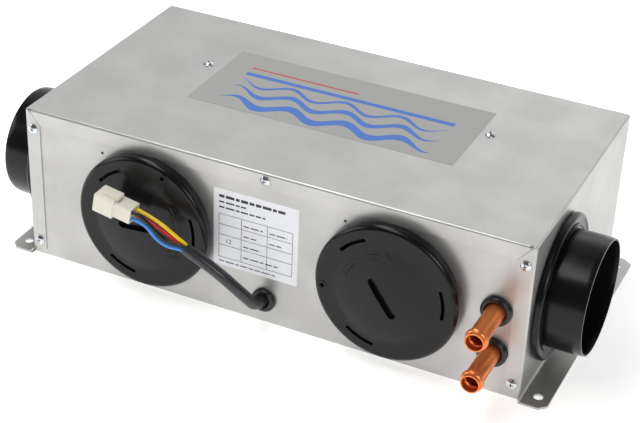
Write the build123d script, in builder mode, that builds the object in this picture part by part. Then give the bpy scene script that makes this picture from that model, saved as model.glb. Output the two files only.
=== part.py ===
from build123d import *
from math import cos, pi, radians, sin, tan
import os

# Hot-water-fed air heater for a caravan or boat: a folded stainless steel box with a
# water-to-air core and a twin blower inside, four round duct ports and two copper tails.
# Frame: origin on the underside at the centre of the four foot holes, X along the
# length, the front with the blanking caps towards -Y, Z up. Everything is in millimetres.

os.makedirs("parts", exist_ok=True)

# Casing, folded from one gauge of sheet
casing_length = 460.0
casing_depth = 247.5
casing_height = 145.0
sheet = 1.0
bend_radius = 2.0
fold_radius = 2.0
foot_bend_radius = 4.0
cover_fit = 0.3
lid_lip = 13.8
end_lip = 13.8
lip_gap = 1.0
mitre_gap = 0.5
mitre_overrun = 1.0
corner_relief_d = 3.2
lip_scallop_gap = 0.4
seam_inset = 4.5

# Feet, the cover's layer on the tray's layer
foot_width = 23.0
foot_hole_d = 8.0
foot_hole_to_wall = 12.5
foot_hole_to_front = 11.0
foot_hole_pitch = 218.0
foot_nose = 3.0
foot_back_step = 4.0
foot_front_chamfer = 6.0
foot_rear_chamfer = 8.0

# Sheet-metal screws
screw_d = 4.0
screw_length = 9.0
screw_head_d = 8.4
screw_head_height = 2.6
screw_rim_height = 0.9
screw_clearance = 0.3
screw_to_corner_x = 7.5
screw_to_lid = 18.0
screw_low = 15.0
lid_screw_drop = 6.5
deck_screw_x = 135.5
deck_screw_to_front = 151.0

# Duct ports: bayonet openings with three notches
port_pitch = 223.0
port_shift = 2.75
port_above_middle = 0.0
end_port_to_front = 67.0
port_d = 97.0
notch_reach = 4.9
notch_angle = 26.0
jig_hole_d = 2.5
jig_hole_pitch = 225.5
jig_hole_shift = -41.6
jig_hole_above = 48.8
lug_count = 3
lug_angle = 22.0
lug_reach = 4.2
lug_thickness = 2.5
lug_gap = 0.4
spigot_fit = 0.4
spigot_wall = 2.2
spigot_depth = 8.0
unlock_turn = 30.0
front_lug_start = 7.0
end_lug_start = 84.0

# Seal ring under each cap and collar
seal_inner_d = 108.0
seal_outer_d = 116.0
seal_thickness = 1.0
seal_gap = 0.3

# Blanking caps
cap_d = 124.0
cap_foot_d = 117.4
cap_height = 14.0
cap_wall = 2.2
cap_edge_radius = 4.5
dome_d = 91.0
dome_rise = 6.0
face_slot_inner_d = 97.2
face_slot_width = 3.0
face_slot_angle = 30.0
coin_slot_length = 38.5
coin_slot_width = 7.0
coin_slot_depth = 4.5
coin_slot_angle = -61.5
witness_hole_d = 4.0
witness_boss_d = 8.0
witness_boss_rise = 0.5
witness_radius = 54.4

# Duct collars
collar_flange_d = 124.0
collar_flange_height = 6.2
collar_edge_radius = 2.8
collar_tube_d = 99.0
collar_tube_wall = 2.6
collar_reach = 38.0
collar_lead_in = 5.0
collar_lead_drop = 0.6
collar_ridge_d = 107.5
collar_ridge_width = 1.6
collar_ridge_rise = 0.9
collar_slot_gap = 1.0
collar_slot_width = 2.4

# Copper hose tails
tail_d = 16.0
tail_wall = 1.0
tail_x = 203.5
tail_low = 40.5
tail_high = 79.5
tail_reach = 49.0
bead_rise = 1.6
bead_width = 6.0
bead_to_mouth = 2.6
tail_seat = 3.0
braze_gap = 0.05

# Rubber grommets
tail_grommet_d = 26.0
tail_grommet_face = 5.5
tail_grommet_neck_d = 20.6
harness_grommet_d = 21.6
harness_grommet_face = 5.0
harness_grommet_neck_d = 16.6
grommet_back = 3.0
grommet_fit = 0.1

# Fan deck across the casing
deck_to_front = 136.0
deck_sheet = 1.2
deck_top_flange = 24.0
deck_foot_flange = 14.0
deck_fit = 0.4

# Water-to-air core
core_depth = 34.0
core_low = 14.0
core_to_lid = 14.0
core_half_width = 189.0
core_shift = 1.0
seal_frame_depth = 16.0
seal_frame_width = 9.0
flat_tube_count = 6
flat_tube_thickness = 3.4
flat_tube_wall = 0.5
fin_sheet = 0.6
fin_fold_pitch = 21.0
side_plate = 1.0
tank_width = 25.0
tank_wall = 1.2
tank_corner = 4.0
cradle_x = 120.0
cradle_width = 24.0
cradle_sheet = 1.2
foam_strip_depth = 12.0

# Twin blower
blower_to_front = 189.0
blower_below_middle = 0.5
blower_x = 95.0
wheel_d = 76.0
wheel_width = 60.0
blade_count = 20
blade_depth = 8.4
blade_sheet = 1.0
blade_lean = 11.0
wheel_disc = 1.6
wheel_ring = 1.8
wheel_hub_d = 16.0
wheel_hub_length = 14.0
scroll_width = 74.0
scroll_wall = 2.0
scroll_start_radius = 43.0
scroll_step = 5.0
scroll_tongue = -13.0
scroll_inlet_d = 62.0
scroll_inlet_lip = 3.0
scroll_flange = 5.0

# Blower motor
motor_d = 60.0
motor_length = 74.0
motor_wall = 1.6
motor_cap_thickness = 3.0
bearing_boss_d = 18.0
bearing_boss_length = 7.0
bush_d = 11.0
shaft_d = 6.0
running_clearance = 0.04
armature_d = 40.0
armature_length = 40.0
armature_slots = 8
commutator_d = 18.0
commutator_length = 10.0
winding_drop = 4.0
winding_length = 3.0
brush_gap = 0.3
brush_length = 7.0
brush_width = 6.0
magnet_gap = 1.0
magnet_angle = 120.0
saddle_sheet = 2.0
saddle_width = 44.0
saddle_depth = 76.0
saddle_drop = 10.0
strap_sheet = 1.2
strap_width = 8.0

# Rear air intake, three fields of punched slots beside the blowers
intake_slot_length = 62.0
intake_slot_width = 6.0
intake_rows = 6
intake_row_pitch = 15.0
intake_columns = 3
intake_column_pitch = 178.0

# Harness
harness_x = 1.0
harness_height = 23.5
sleeve_d = 10.5
sleeve_wall = 1.1
loom_d = 7.6
wire_d = 3.2
loom_height = 8.0
loom_y = 25.0
loom_hole_gap = 1.8
clip_sheet = 1.2
clip_width = 5.0
clip_places = (-42.0, 0.0)
resistor_above_shaft = 34.0
resistor_length = 44.0
resistor_width = 12.0
resistor_thickness = 9.0
resistor_plate = 1.5
resistor_plate_width = 24.0
resistor_plug_length = 26.0
resistor_plug_width = 12.0
resistor_plug_height = 14.0
resistor_plug_grip = 7.0
resistor_blade_length = 10.0
resistor_blade_pitch = 8.0
resistor_blade_width = 6.3
resistor_blade_sheet = 0.8

# Four-way plug housing on the harness
plug_tilt = 10.0
plug_rear_length = 16.0
plug_rear_width = 15.0
plug_rear_height = 14.0
plug_nose_length = 18.5
plug_nose_width = 18.0
plug_nose_height = 17.0
plug_latch_length = 15.0
plug_latch_width = 9.0
plug_latch_rise = 2.4
cavity_pitch = 6.4
cavity_size = 4.6
terminal_size = 3.9
terminal_wall = 0.4
terminal_start = 3.0
terminal_length = 24.0
plug_corner = 1.2
plug_nose_chamfer = 0.8
plug_mouth_depth = 5.0

# Places that follow from the sizes above
half_turn = 180
port_height = casing_height / 2 + port_above_middle
blower_height = casing_height / 2 - blower_below_middle
resistor_height = blower_height + resistor_above_shaft
screw_high = casing_height - screw_to_lid
core_high = casing_height - core_to_lid
tank_baffle_height = (tail_low + tail_high) / 2
end_x = casing_length / 2
foot_x = end_x + foot_width
front_y = -(foot_hole_to_front + foot_hole_pitch / 2)
rear_y = front_y + casing_depth
panel_y = front_y + sheet
rear_panel_y = rear_y - sheet
lid_under = casing_height - sheet
lip_low = casing_height - lid_lip
tray_half = end_x - sheet - cover_fit
tray_top = lid_under - cover_fit
port_r = port_d / 2
front_ports = [port_shift - port_pitch / 2, port_shift + port_pitch / 2]
jig_hole_height = port_height + jig_hole_above
jig_holes = [(jig_hole_shift + s * jig_hole_pitch / 2, jig_hole_height) for s in (-1, 1)]
deck_y = front_y + deck_to_front
core_rear = deck_y - seal_frame_depth
core_front = core_rear - core_depth
blower_y = front_y + blower_to_front


def outward_plane(x, y, z, outward, right):
    """Plane of an opening: its Z leaves the casing, its Y points up."""
    return Plane(origin=(x, y, z), x_dir=right, z_dir=outward)


def section_plane(port):
    """Plane through a port's axis: its X is the radius, its Y leaves the casing."""
    return Plane(origin=port.origin, x_dir=port.x_dir, z_dir=-port.y_dir)


def ring_sector(inner_r, outer_r, middle, sweep):
    """Sector of a ring in the current sketch, centred on an angle in degrees."""
    start = middle - sweep / 2
    a, b = radians(start), radians(start + sweep)
    with BuildLine() as outline:
        CenterArc((0, 0), inner_r, start, sweep)
        CenterArc((0, 0), outer_r, start, sweep)
        Line((inner_r * cos(a), inner_r * sin(a)), (outer_r * cos(a), outer_r * sin(a)))
        Line((inner_r * cos(b), inner_r * sin(b)), (outer_r * cos(b), outer_r * sin(b)))
    make_face(outline.edges())


def crown_height(r, rise):
    """Height of a spherical crown at half of its chord radius."""
    sphere_r = (r**2 + rise**2) / (2 * rise)
    return (sphere_r**2 - r**2 / 4) ** 0.5 - sphere_r + rise


def bayonet_opening(lug_start):
    """Round hole with three notches, in the current sketch."""
    Circle(port_r)
    for k in range(lug_count):
        middle = lug_start + unlock_turn + k * 360 / lug_count
        ring_sector(port_r - 1, port_r + notch_reach, middle, notch_angle)


def save(node, label):
    node.part.label = label
    export_step(node.part, f"parts/{label}.step")


front_port_planes = [
    outward_plane(x, panel_y, port_height, (0, -1, 0), (1, 0, 0)) for x in front_ports
]
end_port_y = front_y + end_port_to_front
left_port = outward_plane(-end_x, end_port_y, port_height, (-1, 0, 0), (0, -1, 0))
right_port = outward_plane(end_x, end_port_y, port_height, (1, 0, 0), (0, 1, 0))

screw_x = end_x - screw_to_corner_x
casing_screw_places = [
    (-screw_x, screw_low),
    (-screw_x, screw_high),
    (screw_x, screw_low),
    (screw_x, screw_high),
    (0, casing_height - lid_screw_drop),
]
foot_hole_places = [
    (side * (end_x + foot_hole_to_wall), run * foot_hole_pitch / 2)
    for side in (-1, 1)
    for run in (-1, 1)
]

# Cover: lid, end walls and the upper layer of the feet, folded from one sheet
wall_x = end_x - sheet / 2
foot_z = 1.5 * sheet
foot_bend_top = foot_z + foot_bend_radius
nose_y = front_y - foot_nose
tail_y = rear_y - foot_back_step
with BuildPart() as cover:
    with BuildSketch(Plane.XZ.offset(-rear_y)):
        with BuildLine():
            lid_z = casing_height - sheet / 2
            FilletPolyline(
                (-wall_x, foot_bend_top),
                (-wall_x, lid_z),
                (wall_x, lid_z),
                (wall_x, foot_bend_top),
                radius=bend_radius - sheet / 2,
            )
        trace(line_width=sheet)
    extrude(amount=casing_depth)
    # lips that lap over the tray's front and rear walls
    for lip_y in (front_y + sheet, rear_y):
        with BuildSketch(Plane.XZ.offset(-lip_y)):
            with Locations((0, casing_height - lid_lip / 2)):
                Rectangle(casing_length - 2 * bend_radius, lid_lip)
            for side in (-1, 1):
                lip_foot = foot_bend_top + lip_gap
                lip_width = end_lip - sheet / 2
                with Locations((side * (wall_x - lip_width / 2), (lip_foot + lip_low) / 2)):
                    Rectangle(lip_width, lip_low - lip_foot)
                corner_x = side * (end_x - end_lip)
                with BuildLine():
                    Polyline(
                        (corner_x, lip_low),
                        (side * wall_x, lip_low),
                        (side * wall_x, casing_height - bend_radius),
                        (side * (end_x - bend_radius), lid_z),
                        (corner_x, lid_z),
                        close=True,
                    )
                make_face()
        extrude(amount=sheet)
    folds = [
        e
        for e in cover.edges()
        if min(abs(e.center().Y - front_y), abs(e.center().Y - rear_y)) < 0.01
        and e.length > 2 * sheet
        and (
            end_x - abs(e.center().X) < 0.4 * bend_radius
            or casing_height - e.center().Z < 0.4 * bend_radius
        )
    ]
    fillet(folds, radius=fold_radius)
    # feet, bent outwards from the foot of each end wall
    with BuildSketch(Plane.XZ.offset(-tail_y)):
        for side in (-1, 1):
            with BuildLine():
                FilletPolyline(
                    (side * foot_x, foot_z),
                    (side * wall_x, foot_z),
                    (side * wall_x, foot_bend_top),
                    radius=foot_bend_radius - sheet / 2,
                )
            trace(line_width=sheet)
    extrude(amount=tail_y - nose_y)
    # mitred corners with their round reliefs
    for lip_back in (front_y + sheet + bend_radius / 2, rear_y + 1):
        with BuildSketch(Plane.XZ.offset(-lip_back)):
            for side in (-1, 1):
                relief = (side * (end_x - seam_inset), casing_height - seam_inset / 2)
                inner = (
                    side * (end_x - end_lip - mitre_overrun),
                    lip_low - mitre_overrun,
                )
                with BuildLine():
                    Line(relief, inner)
                trace(line_width=mitre_gap)
                with Locations((side * (end_x - seam_inset), lid_under)):
                    Circle(corner_relief_d / 2)
        extrude(amount=sheet + 1 + bend_radius / 2, mode=Mode.SUBTRACT)
    # front lip cut back round the tail grommets and, where they reach it, the port seals
    with BuildSketch(Plane.XZ.offset(-panel_y)):
        with Locations((tail_x, tail_low), (tail_x, tail_high)):
            Circle(tail_grommet_d / 2 + lip_scallop_gap)
        with Locations(*[(x, port_height) for x in front_ports]):
            Circle(seal_outer_d / 2 + lip_scallop_gap)
    extrude(amount=2 * sheet, mode=Mode.SUBTRACT)
    # duct ports in the end walls
    for port in (left_port, right_port):
        with BuildSketch(port.offset(-2 * sheet)):
            bayonet_opening(end_lug_start)
        extrude(amount=3 * sheet, mode=Mode.SUBTRACT)
    # screw holes through the lips and the lid
    with BuildSketch(Plane.XZ.offset(-rear_y - 1)):
        with Locations(*casing_screw_places):
            Circle(screw_d / 2 + screw_clearance)
    extrude(amount=casing_depth + 2, mode=Mode.SUBTRACT)
    with BuildSketch(Plane.XY.offset(lid_under - 1)):
        with Locations(*[(s * deck_screw_x, front_y + deck_screw_to_front) for s in (-1, 1)]):
            Circle(screw_d / 2 + screw_clearance)
    extrude(amount=sheet + 2, mode=Mode.SUBTRACT)
    # foot holes and the cut-off foot corners
    with BuildSketch(Plane.XY):
        with Locations(*foot_hole_places):
            Circle(foot_hole_d / 2)
        for side in (-1, 1):
            with BuildLine():
                Polyline(
                    (side * foot_x, nose_y),
                    (side * foot_x, nose_y + foot_front_chamfer),
                    (side * (foot_x - foot_front_chamfer), nose_y),
                    close=True,
                )
            make_face()
            with BuildLine():
                Polyline(
                    (side * foot_x, tail_y),
                    (side * foot_x, tail_y - foot_front_chamfer),
                    (side * (foot_x - foot_rear_chamfer), tail_y),
                    close=True,
                )
            make_face()
    extrude(amount=3 * sheet, mode=Mode.SUBTRACT)
save(cover, "cover")

# Base tray: floor with the lower layer of the feet, front wall and rear wall
with BuildPart() as base_tray:
    with BuildSketch(Plane.YZ.offset(-tray_half)):
        with BuildLine():
            front_mid = panel_y + sheet / 2
            rear_mid = rear_panel_y - sheet / 2
            FilletPolyline(
                (front_mid, tray_top),
                (front_mid, sheet / 2),
                (rear_mid, sheet / 2),
                (rear_mid, tray_top),
                radius=bend_radius - sheet / 2,
            )
        trace(line_width=sheet)
    extrude(amount=2 * tray_half)
    # feet under the cover's feet
    with BuildSketch(Plane.XY):
        for side in (-1, 1):
            with BuildLine():
                Polyline(
                    (side * (tray_half - 10), front_y + 3 * bend_radius),
                    (side * end_x, front_y + 3 * bend_radius),
                    (side * end_x, nose_y),
                    (side * (foot_x - foot_front_chamfer), nose_y),
                    (side * foot_x, nose_y + foot_front_chamfer),
                    (side * foot_x, tail_y - foot_front_chamfer),
                    (side * (foot_x - foot_rear_chamfer), tail_y),
                    (side * end_x, tail_y),
                    (side * end_x, rear_y - 3 * bend_radius),
                    (side * (tray_half - 10), rear_y - 3 * bend_radius),
                    close=True,
                )
            make_face()
    extrude(amount=sheet)
    with BuildSketch(Plane.XY.offset(-1)):
        with Locations(*foot_hole_places):
            Circle(foot_hole_d / 2)
    extrude(amount=sheet + 2, mode=Mode.SUBTRACT)
    # duct ports in the front wall
    for port in front_port_planes:
        with BuildSketch(port.offset(-2 * sheet)):
            bayonet_opening(front_lug_start)
        extrude(amount=3 * sheet, mode=Mode.SUBTRACT)
    # holes for the tails, the harness and the two jig pins of the front wall
    with BuildSketch(Plane.XZ.offset(-panel_y - 2 * sheet)):
        with Locations((tail_x, tail_low), (tail_x, tail_high)):
            Circle(tail_grommet_neck_d / 2 + grommet_fit)
        with Locations((harness_x, harness_height)):
            Circle(harness_grommet_neck_d / 2 + grommet_fit)
        with Locations(*jig_holes):
            Circle(jig_hole_d / 2)
    extrude(amount=3 * sheet, mode=Mode.SUBTRACT)
    # holes that the sheet-metal screws cut into
    with BuildSketch(Plane.XZ.offset(-rear_y)):
        with Locations(*casing_screw_places):
            Circle(screw_d / 2)
    extrude(amount=casing_depth, mode=Mode.SUBTRACT)
    # air intake behind each blower
    with BuildSketch(Plane.XZ.offset(-rear_y)):
        with Locations((0, blower_height)):
            with GridLocations(intake_column_pitch, intake_row_pitch, intake_columns, intake_rows):
                SlotOverall(intake_slot_length, intake_slot_width)
    extrude(amount=2 * sheet + 1, mode=Mode.SUBTRACT)
save(base_tray, "base_tray")


def screw_on(plane, length):
    """Pan-head sheet-metal screw, its head seated on the plane."""
    head_r = screw_head_d / 2
    with BuildSketch(section_plane(plane)) as profile:
        with BuildLine():
            Polyline(
                (0, -length),
                (screw_d / 2, screw_d / 2 - length),
                (screw_d / 2, 0),
                (head_r, 0),
                (head_r, screw_rim_height),
                (head_r / 2, screw_head_height),
                (0, screw_head_height),
                (0, -length),
            )
        make_face()
    revolve(profile.sketch, axis=Axis(plane.origin, plane.z_dir))


# Ten screws hold the cover to the tray, two hold the fan deck to the lid
with BuildPart() as casing_screws:
    for x, z in casing_screw_places:
        screw_on(outward_plane(x, front_y, z, (0, -1, 0), (1, 0, 0)), screw_length)
        screw_on(outward_plane(x, rear_y, z, (0, 1, 0), (-1, 0, 0)), screw_length)
save(casing_screws, "casing_screws")

with BuildPart() as deck_screws:
    for side in (-1, 1):
        place = (side * deck_screw_x, front_y + deck_screw_to_front, casing_height)
        screw_on(outward_plane(*place, (0, 0, 1), (1, 0, 0)), screw_length)
save(deck_screws, "deck_screws")

# Foam seal rings that lie between the sheet and each cap or collar
with BuildPart() as port_seals:
    for port in (*front_port_planes, left_port, right_port):
        with BuildSketch(port):
            Circle(seal_outer_d / 2)
            Circle(seal_inner_d / 2, mode=Mode.SUBTRACT)
        extrude(amount=seal_thickness)
save(port_seals, "port_seals")


def bayonet_lugs(port, lug_start):
    """Three lugs on the spigot that hook behind the sheet."""
    top = -(sheet + lug_gap)
    with BuildSketch(port.offset(top)) as lugs:
        for k in range(lug_count):
            middle = lug_start + k * 360 / lug_count
            inner = port_r - spigot_fit - spigot_wall / 2
            ring_sector(inner, port_r + lug_reach, middle, lug_angle)
    extrude(lugs.sketch, amount=-lug_thickness)


def face_slots(port, lug_start, height):
    """Slots that the mould leaves in the face above each lug."""
    inner = face_slot_inner_d / 2
    with BuildSketch(port.offset(height - 2 * cap_wall)) as slots:
        for k in range(lug_count):
            middle = lug_start + k * 360 / lug_count
            ring_sector(inner, inner + face_slot_width, middle, face_slot_angle)
    extrude(slots.sketch, amount=4 * cap_wall, mode=Mode.SUBTRACT)


def witness_hole(port, angle, height):
    """Small pin hole with a low boss, between two lugs."""
    place = (witness_radius * cos(radians(angle)), witness_radius * sin(radians(angle)))
    with BuildSketch(port.offset(height - cap_wall / 2)) as boss:
        with Locations(place):
            Circle(witness_boss_d / 2)
    extrude(boss.sketch, amount=cap_wall / 2 + witness_boss_rise)
    with BuildSketch(port.offset(height - 2 * cap_wall)) as hole:
        with Locations(place):
            Circle(witness_hole_d / 2)
    extrude(hole.sketch, amount=4 * cap_wall, mode=Mode.SUBTRACT)


def blanking_cap(port, hole_angle):
    """Moulded bayonet cap with a domed centre, a coin slot and a hollow rim."""
    foot = seal_thickness + seal_gap
    face = cap_height + sheet
    outer = cap_d / 2
    spigot = port_r - spigot_fit
    dome = dome_d / 2
    crown = face + dome_rise
    under = face - cap_wall
    rim_inner = cap_foot_d / 2 - cap_wall
    edge = cap_edge_radius
    bulge = face - 2 * edge
    k = 1 - cos(radians(45))
    with BuildPart() as cap:
        with BuildSketch(section_plane(port)):
            with BuildLine():
                Polyline((rim_inner, foot), (cap_foot_d / 2, foot), (outer, bulge), (outer, face - edge))
                ThreePointArc(
                    (outer, face - edge),
                    (outer - edge * k, face - edge * k),
                    (outer - edge, face),
                )
                Line((outer - edge, face), (dome, face))
                halfway = crown_height(dome, dome_rise)
                ThreePointArc((dome, face), (dome / 2, face + halfway), (0, crown))
                Line((0, crown), (0, crown - cap_wall))
                ThreePointArc(
                    (0, crown - cap_wall),
                    (dome / 2, under + halfway),
                    (dome, under),
                )
                Polyline(
                    (dome, under),
                    (spigot - spigot_wall, under),
                    (spigot - spigot_wall, -spigot_depth),
                    (spigot, -spigot_depth),
                    (spigot, under),
                    (outer - edge, under),
                    (outer - cap_wall, face - edge),
                    (outer - cap_wall, bulge),
                    (rim_inner, foot),
                )
            make_face()
        revolve(axis=Axis(port.origin, port.z_dir))
        # trough of the coin slot
        turn = hole_angle + coin_slot_angle
        floor = crown - coin_slot_depth
        with BuildSketch(port.offset(floor - cap_wall)):
            SlotOverall(
                coin_slot_length + 2 * cap_wall, coin_slot_width + 2 * cap_wall, rotation=turn
            )
        extrude(amount=coin_slot_depth + 0.3)
        with BuildSketch(port.offset(floor)):
            SlotOverall(coin_slot_length, coin_slot_width, rotation=turn)
        extrude(amount=2 * coin_slot_depth, mode=Mode.SUBTRACT)
        bayonet_lugs(port, front_lug_start)
        face_slots(port, front_lug_start, face)
        witness_hole(port, hole_angle, face)
    return cap


cap_hole_angles = {"left": front_lug_start + 60, "right": front_lug_start + 180}
for (side, hole_angle), port in zip(cap_hole_angles.items(), front_port_planes):
    save(blanking_cap(port, hole_angle), f"blanking_cap_{side}")


def duct_collar(port, hole_angle):
    """Moulded bayonet collar that a duct hose is pushed over."""
    foot = seal_thickness + seal_gap
    outer = collar_flange_d / 2
    spigot = port_r - spigot_fit
    tube = collar_tube_d / 2
    edge = collar_edge_radius
    face = foot + collar_flange_height
    under = face - cap_wall
    ridge = collar_ridge_d / 2
    bore = tube - collar_tube_wall
    k = 1 - cos(radians(45))
    rim_inner = seal_outer_d / 2 - cap_wall
    with BuildPart() as collar:
        with BuildSketch(section_plane(port)):
            with BuildLine():
                Polyline(
                    (rim_inner, foot),
                    (outer - edge / 2, foot),
                    (outer, foot + edge / 2),
                    (outer, face - edge),
                )
                ThreePointArc(
                    (outer, face - edge),
                    (outer - edge * k, face - edge * k),
                    (outer - edge, face),
                )
                Polyline(
                    (outer - edge, face),
                    (outer - 1.6 * edge, face - collar_ridge_rise),
                    (ridge, face - collar_ridge_rise),
                    (ridge, face),
                    (ridge - collar_ridge_width, face),
                    (ridge - 1.5 * collar_ridge_width, face - collar_ridge_rise),
                    (tube, face - collar_ridge_rise),
                    (tube, collar_reach - collar_lead_in),
                    (tube - collar_lead_drop, collar_reach),
                    (bore + collar_lead_drop, collar_reach),
                    (bore, collar_reach - collar_lead_in),
                    (bore, face),
                    (spigot - spigot_wall, under),
                    (spigot - spigot_wall, -spigot_depth),
                    (spigot, -spigot_depth),
                    (spigot, under - collar_ridge_rise),
                    (rim_inner, under - collar_ridge_rise),
                    (rim_inner, foot),
                )
            make_face()
        revolve(axis=Axis(port.origin, port.z_dir))
        bayonet_lugs(port, end_lug_start)
        with BuildSketch(port.offset(foot)):
            for n in range(lug_count):
                middle = end_lug_start + n * 360 / lug_count
                slot_inner = tube + collar_slot_gap
                ring_sector(slot_inner, slot_inner + collar_slot_width, middle, face_slot_angle)
        extrude(amount=collar_flange_height, mode=Mode.SUBTRACT)
        witness_hole(port, hole_angle, face - collar_ridge_rise)
    return collar


for side, port in (("left", left_port), ("right", right_port)):
    save(duct_collar(port, end_lug_start - half_turn), f"duct_collar_{side}")


def hose_tail(height):
    """Copper tube with a rolled bead behind its mouth, square to the front wall."""
    mouth = outward_plane(tail_x, front_y, height, (0, -1, 0), (1, 0, 0))
    outer = tail_d / 2
    back = front_y - core_front - tail_seat
    front = tail_reach
    bead_front = front - bead_to_mouth
    bead_middle = bead_front - bead_width / 2
    bead_back = bead_front - bead_width
    with BuildPart() as tail:
        with BuildSketch(section_plane(mouth)):
            with BuildLine():
                for wall, step in ((0, 0), (tail_wall, 0)):
                    r = outer - wall
                    Line((r, back), (r, bead_back))
                    ThreePointArc(
                        (r, bead_back), (r + bead_rise, bead_middle), (r, bead_front)
                    )
                    Line((r, bead_front), (r, front))
                Line((outer - tail_wall, back), (outer, back))
                Line((outer - tail_wall, front), (outer, front))
            make_face()
        revolve(axis=Axis(mouth.origin, mouth.z_dir))
    return tail


save(hose_tail(tail_low), "supply_tail")
save(hose_tail(tail_high), "return_tail")


def grommet(x, z, outer_d, neck_d, bore_d, face):
    """Rubber ring snapped into the front wall, rounded on the outside."""
    hole = outward_plane(x, panel_y, z, (0, -1, 0), (1, 0, 0))
    outer, neck, bore = outer_d / 2, neck_d / 2, bore_d / 2
    crest = (outer + bore) / 2
    with BuildSketch(section_plane(hole)) as profile:
        with BuildLine():
            Polyline((outer, face / 2), (outer, grommet_fit), (neck, grommet_fit))
            Polyline(
                (neck, grommet_fit),
                (neck, -sheet - grommet_fit),
                (outer - 1, -sheet - grommet_fit),
                (neck, -sheet - grommet_back),
                (bore, -sheet - grommet_back),
                (bore, face / 2),
            )
            ThreePointArc((bore, face / 2), (crest, face), (outer, face / 2))
        make_face()
    revolve(profile.sketch, axis=Axis(hole.origin, hole.z_dir))


with BuildPart() as tail_grommets:
    for height in (tail_low, tail_high):
        bore_d = tail_d + 2 * braze_gap
        grommet(tail_x, height, tail_grommet_d, tail_grommet_neck_d, bore_d, tail_grommet_face)
save(tail_grommets, "tail_grommets")

with BuildPart() as harness_grommet:
    grommet(
        harness_x,
        harness_height,
        harness_grommet_d,
        harness_grommet_neck_d,
        sleeve_d + 2 * grommet_fit,
        harness_grommet_face,
    )
save(harness_grommet, "harness_grommet")

# Fan deck: a bent plate across the casing that carries the core, blowers and motor
deck_half = tray_half - deck_fit
deck_top = lid_under - cover_fit - deck_fit
duct_low = blower_height - scroll_start_radius - 2.5 * scroll_step
duct_high = blower_height + scroll_tongue
with BuildPart() as fan_deck:
    with BuildSketch(Plane.YZ.offset(-deck_half)):
        with BuildLine():
            mid = deck_y + deck_sheet / 2
            FilletPolyline(
                (deck_y + deck_foot_flange, sheet + deck_sheet / 2),
                (mid, sheet + deck_sheet / 2),
                (mid, deck_top - deck_sheet / 2),
                (deck_y + deck_top_flange, deck_top - deck_sheet / 2),
                radius=bend_radius,
            )
        trace(line_width=deck_sheet)
    extrude(amount=2 * deck_half)
    with BuildSketch(Plane.XZ.offset(-deck_y - 2 * deck_sheet)):
        for side in (-1, 1):
            with Locations((side * blower_x, (duct_low + duct_high) / 2)):
                Rectangle(scroll_width - 2 * scroll_wall, duct_high - duct_low)
        with Locations((harness_x, loom_height + loom_hole_gap / 2)):
            Circle(loom_d / 2 + loom_hole_gap)
    extrude(amount=3 * deck_sheet, mode=Mode.SUBTRACT)
    with BuildSketch(Plane.XY.offset(deck_top - 2 * deck_sheet)):
        with Locations(*[(s * deck_screw_x, front_y + deck_screw_to_front) for s in (-1, 1)]):
            Circle(screw_d / 2)
    extrude(amount=3 * deck_sheet, mode=Mode.SUBTRACT)
save(fan_deck, "fan_deck")

# Core: hollow flat tubes along X with folded fins between them
core_mid_y = (core_front + core_rear) / 2
tube_stack = flat_tube_count * flat_tube_thickness
fin_space = core_high - core_low - 2 * side_plate - tube_stack
fin_height = fin_space / (flat_tube_count + 1)
row_pitch = fin_height + flat_tube_thickness
first_fin = core_low + side_plate
tube_depth = core_depth - 4
tube_heights = [
    first_fin + fin_height + n * row_pitch + flat_tube_thickness / 2 for n in range(flat_tube_count)
]
tube_end = core_half_width + tank_wall + 1
with BuildPart() as core_tubes:
    with BuildSketch(Plane.YZ.offset(core_shift - tube_end)):
        with Locations(*[(core_mid_y, height) for height in tube_heights]):
            SlotOverall(tube_depth, flat_tube_thickness)
            bore = flat_tube_thickness - 2 * flat_tube_wall
            SlotOverall(tube_depth - 2 * flat_tube_wall, bore, mode=Mode.SUBTRACT)
    extrude(amount=2 * tube_end)
save(core_tubes, "core_tubes")

fold_count = int(2 * core_half_width / fin_fold_pitch)
fold_run = 2 * core_half_width / fold_count
with BuildPart() as core_fins:
    for n in range(flat_tube_count + 1):
        low = first_fin + n * row_pitch + fin_sheet
        high = first_fin + n * row_pitch + fin_height - fin_sheet
        left = core_shift - core_half_width
        crests = []
        for fold in range(fold_count):
            crests.append((left + (fold + 0.25) * fold_run, low))
            crests.append((left + (fold + 0.75) * fold_run, high))
        with BuildSketch(Plane.XZ.offset(-core_rear + 1)):
            with BuildLine():
                Polyline(*crests)
            trace(line_width=fin_sheet)
        extrude(amount=core_depth - 2)
save(core_fins, "core_fins")

with BuildPart() as core_side_plates:
    for low in (core_low, core_high - side_plate):
        with BuildSketch(Plane.XY.offset(low)):
            with Locations((core_shift, core_mid_y)):
                Rectangle(2 * core_half_width, core_depth)
        extrude(amount=side_plate)
save(core_side_plates, "core_side_plates")


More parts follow.
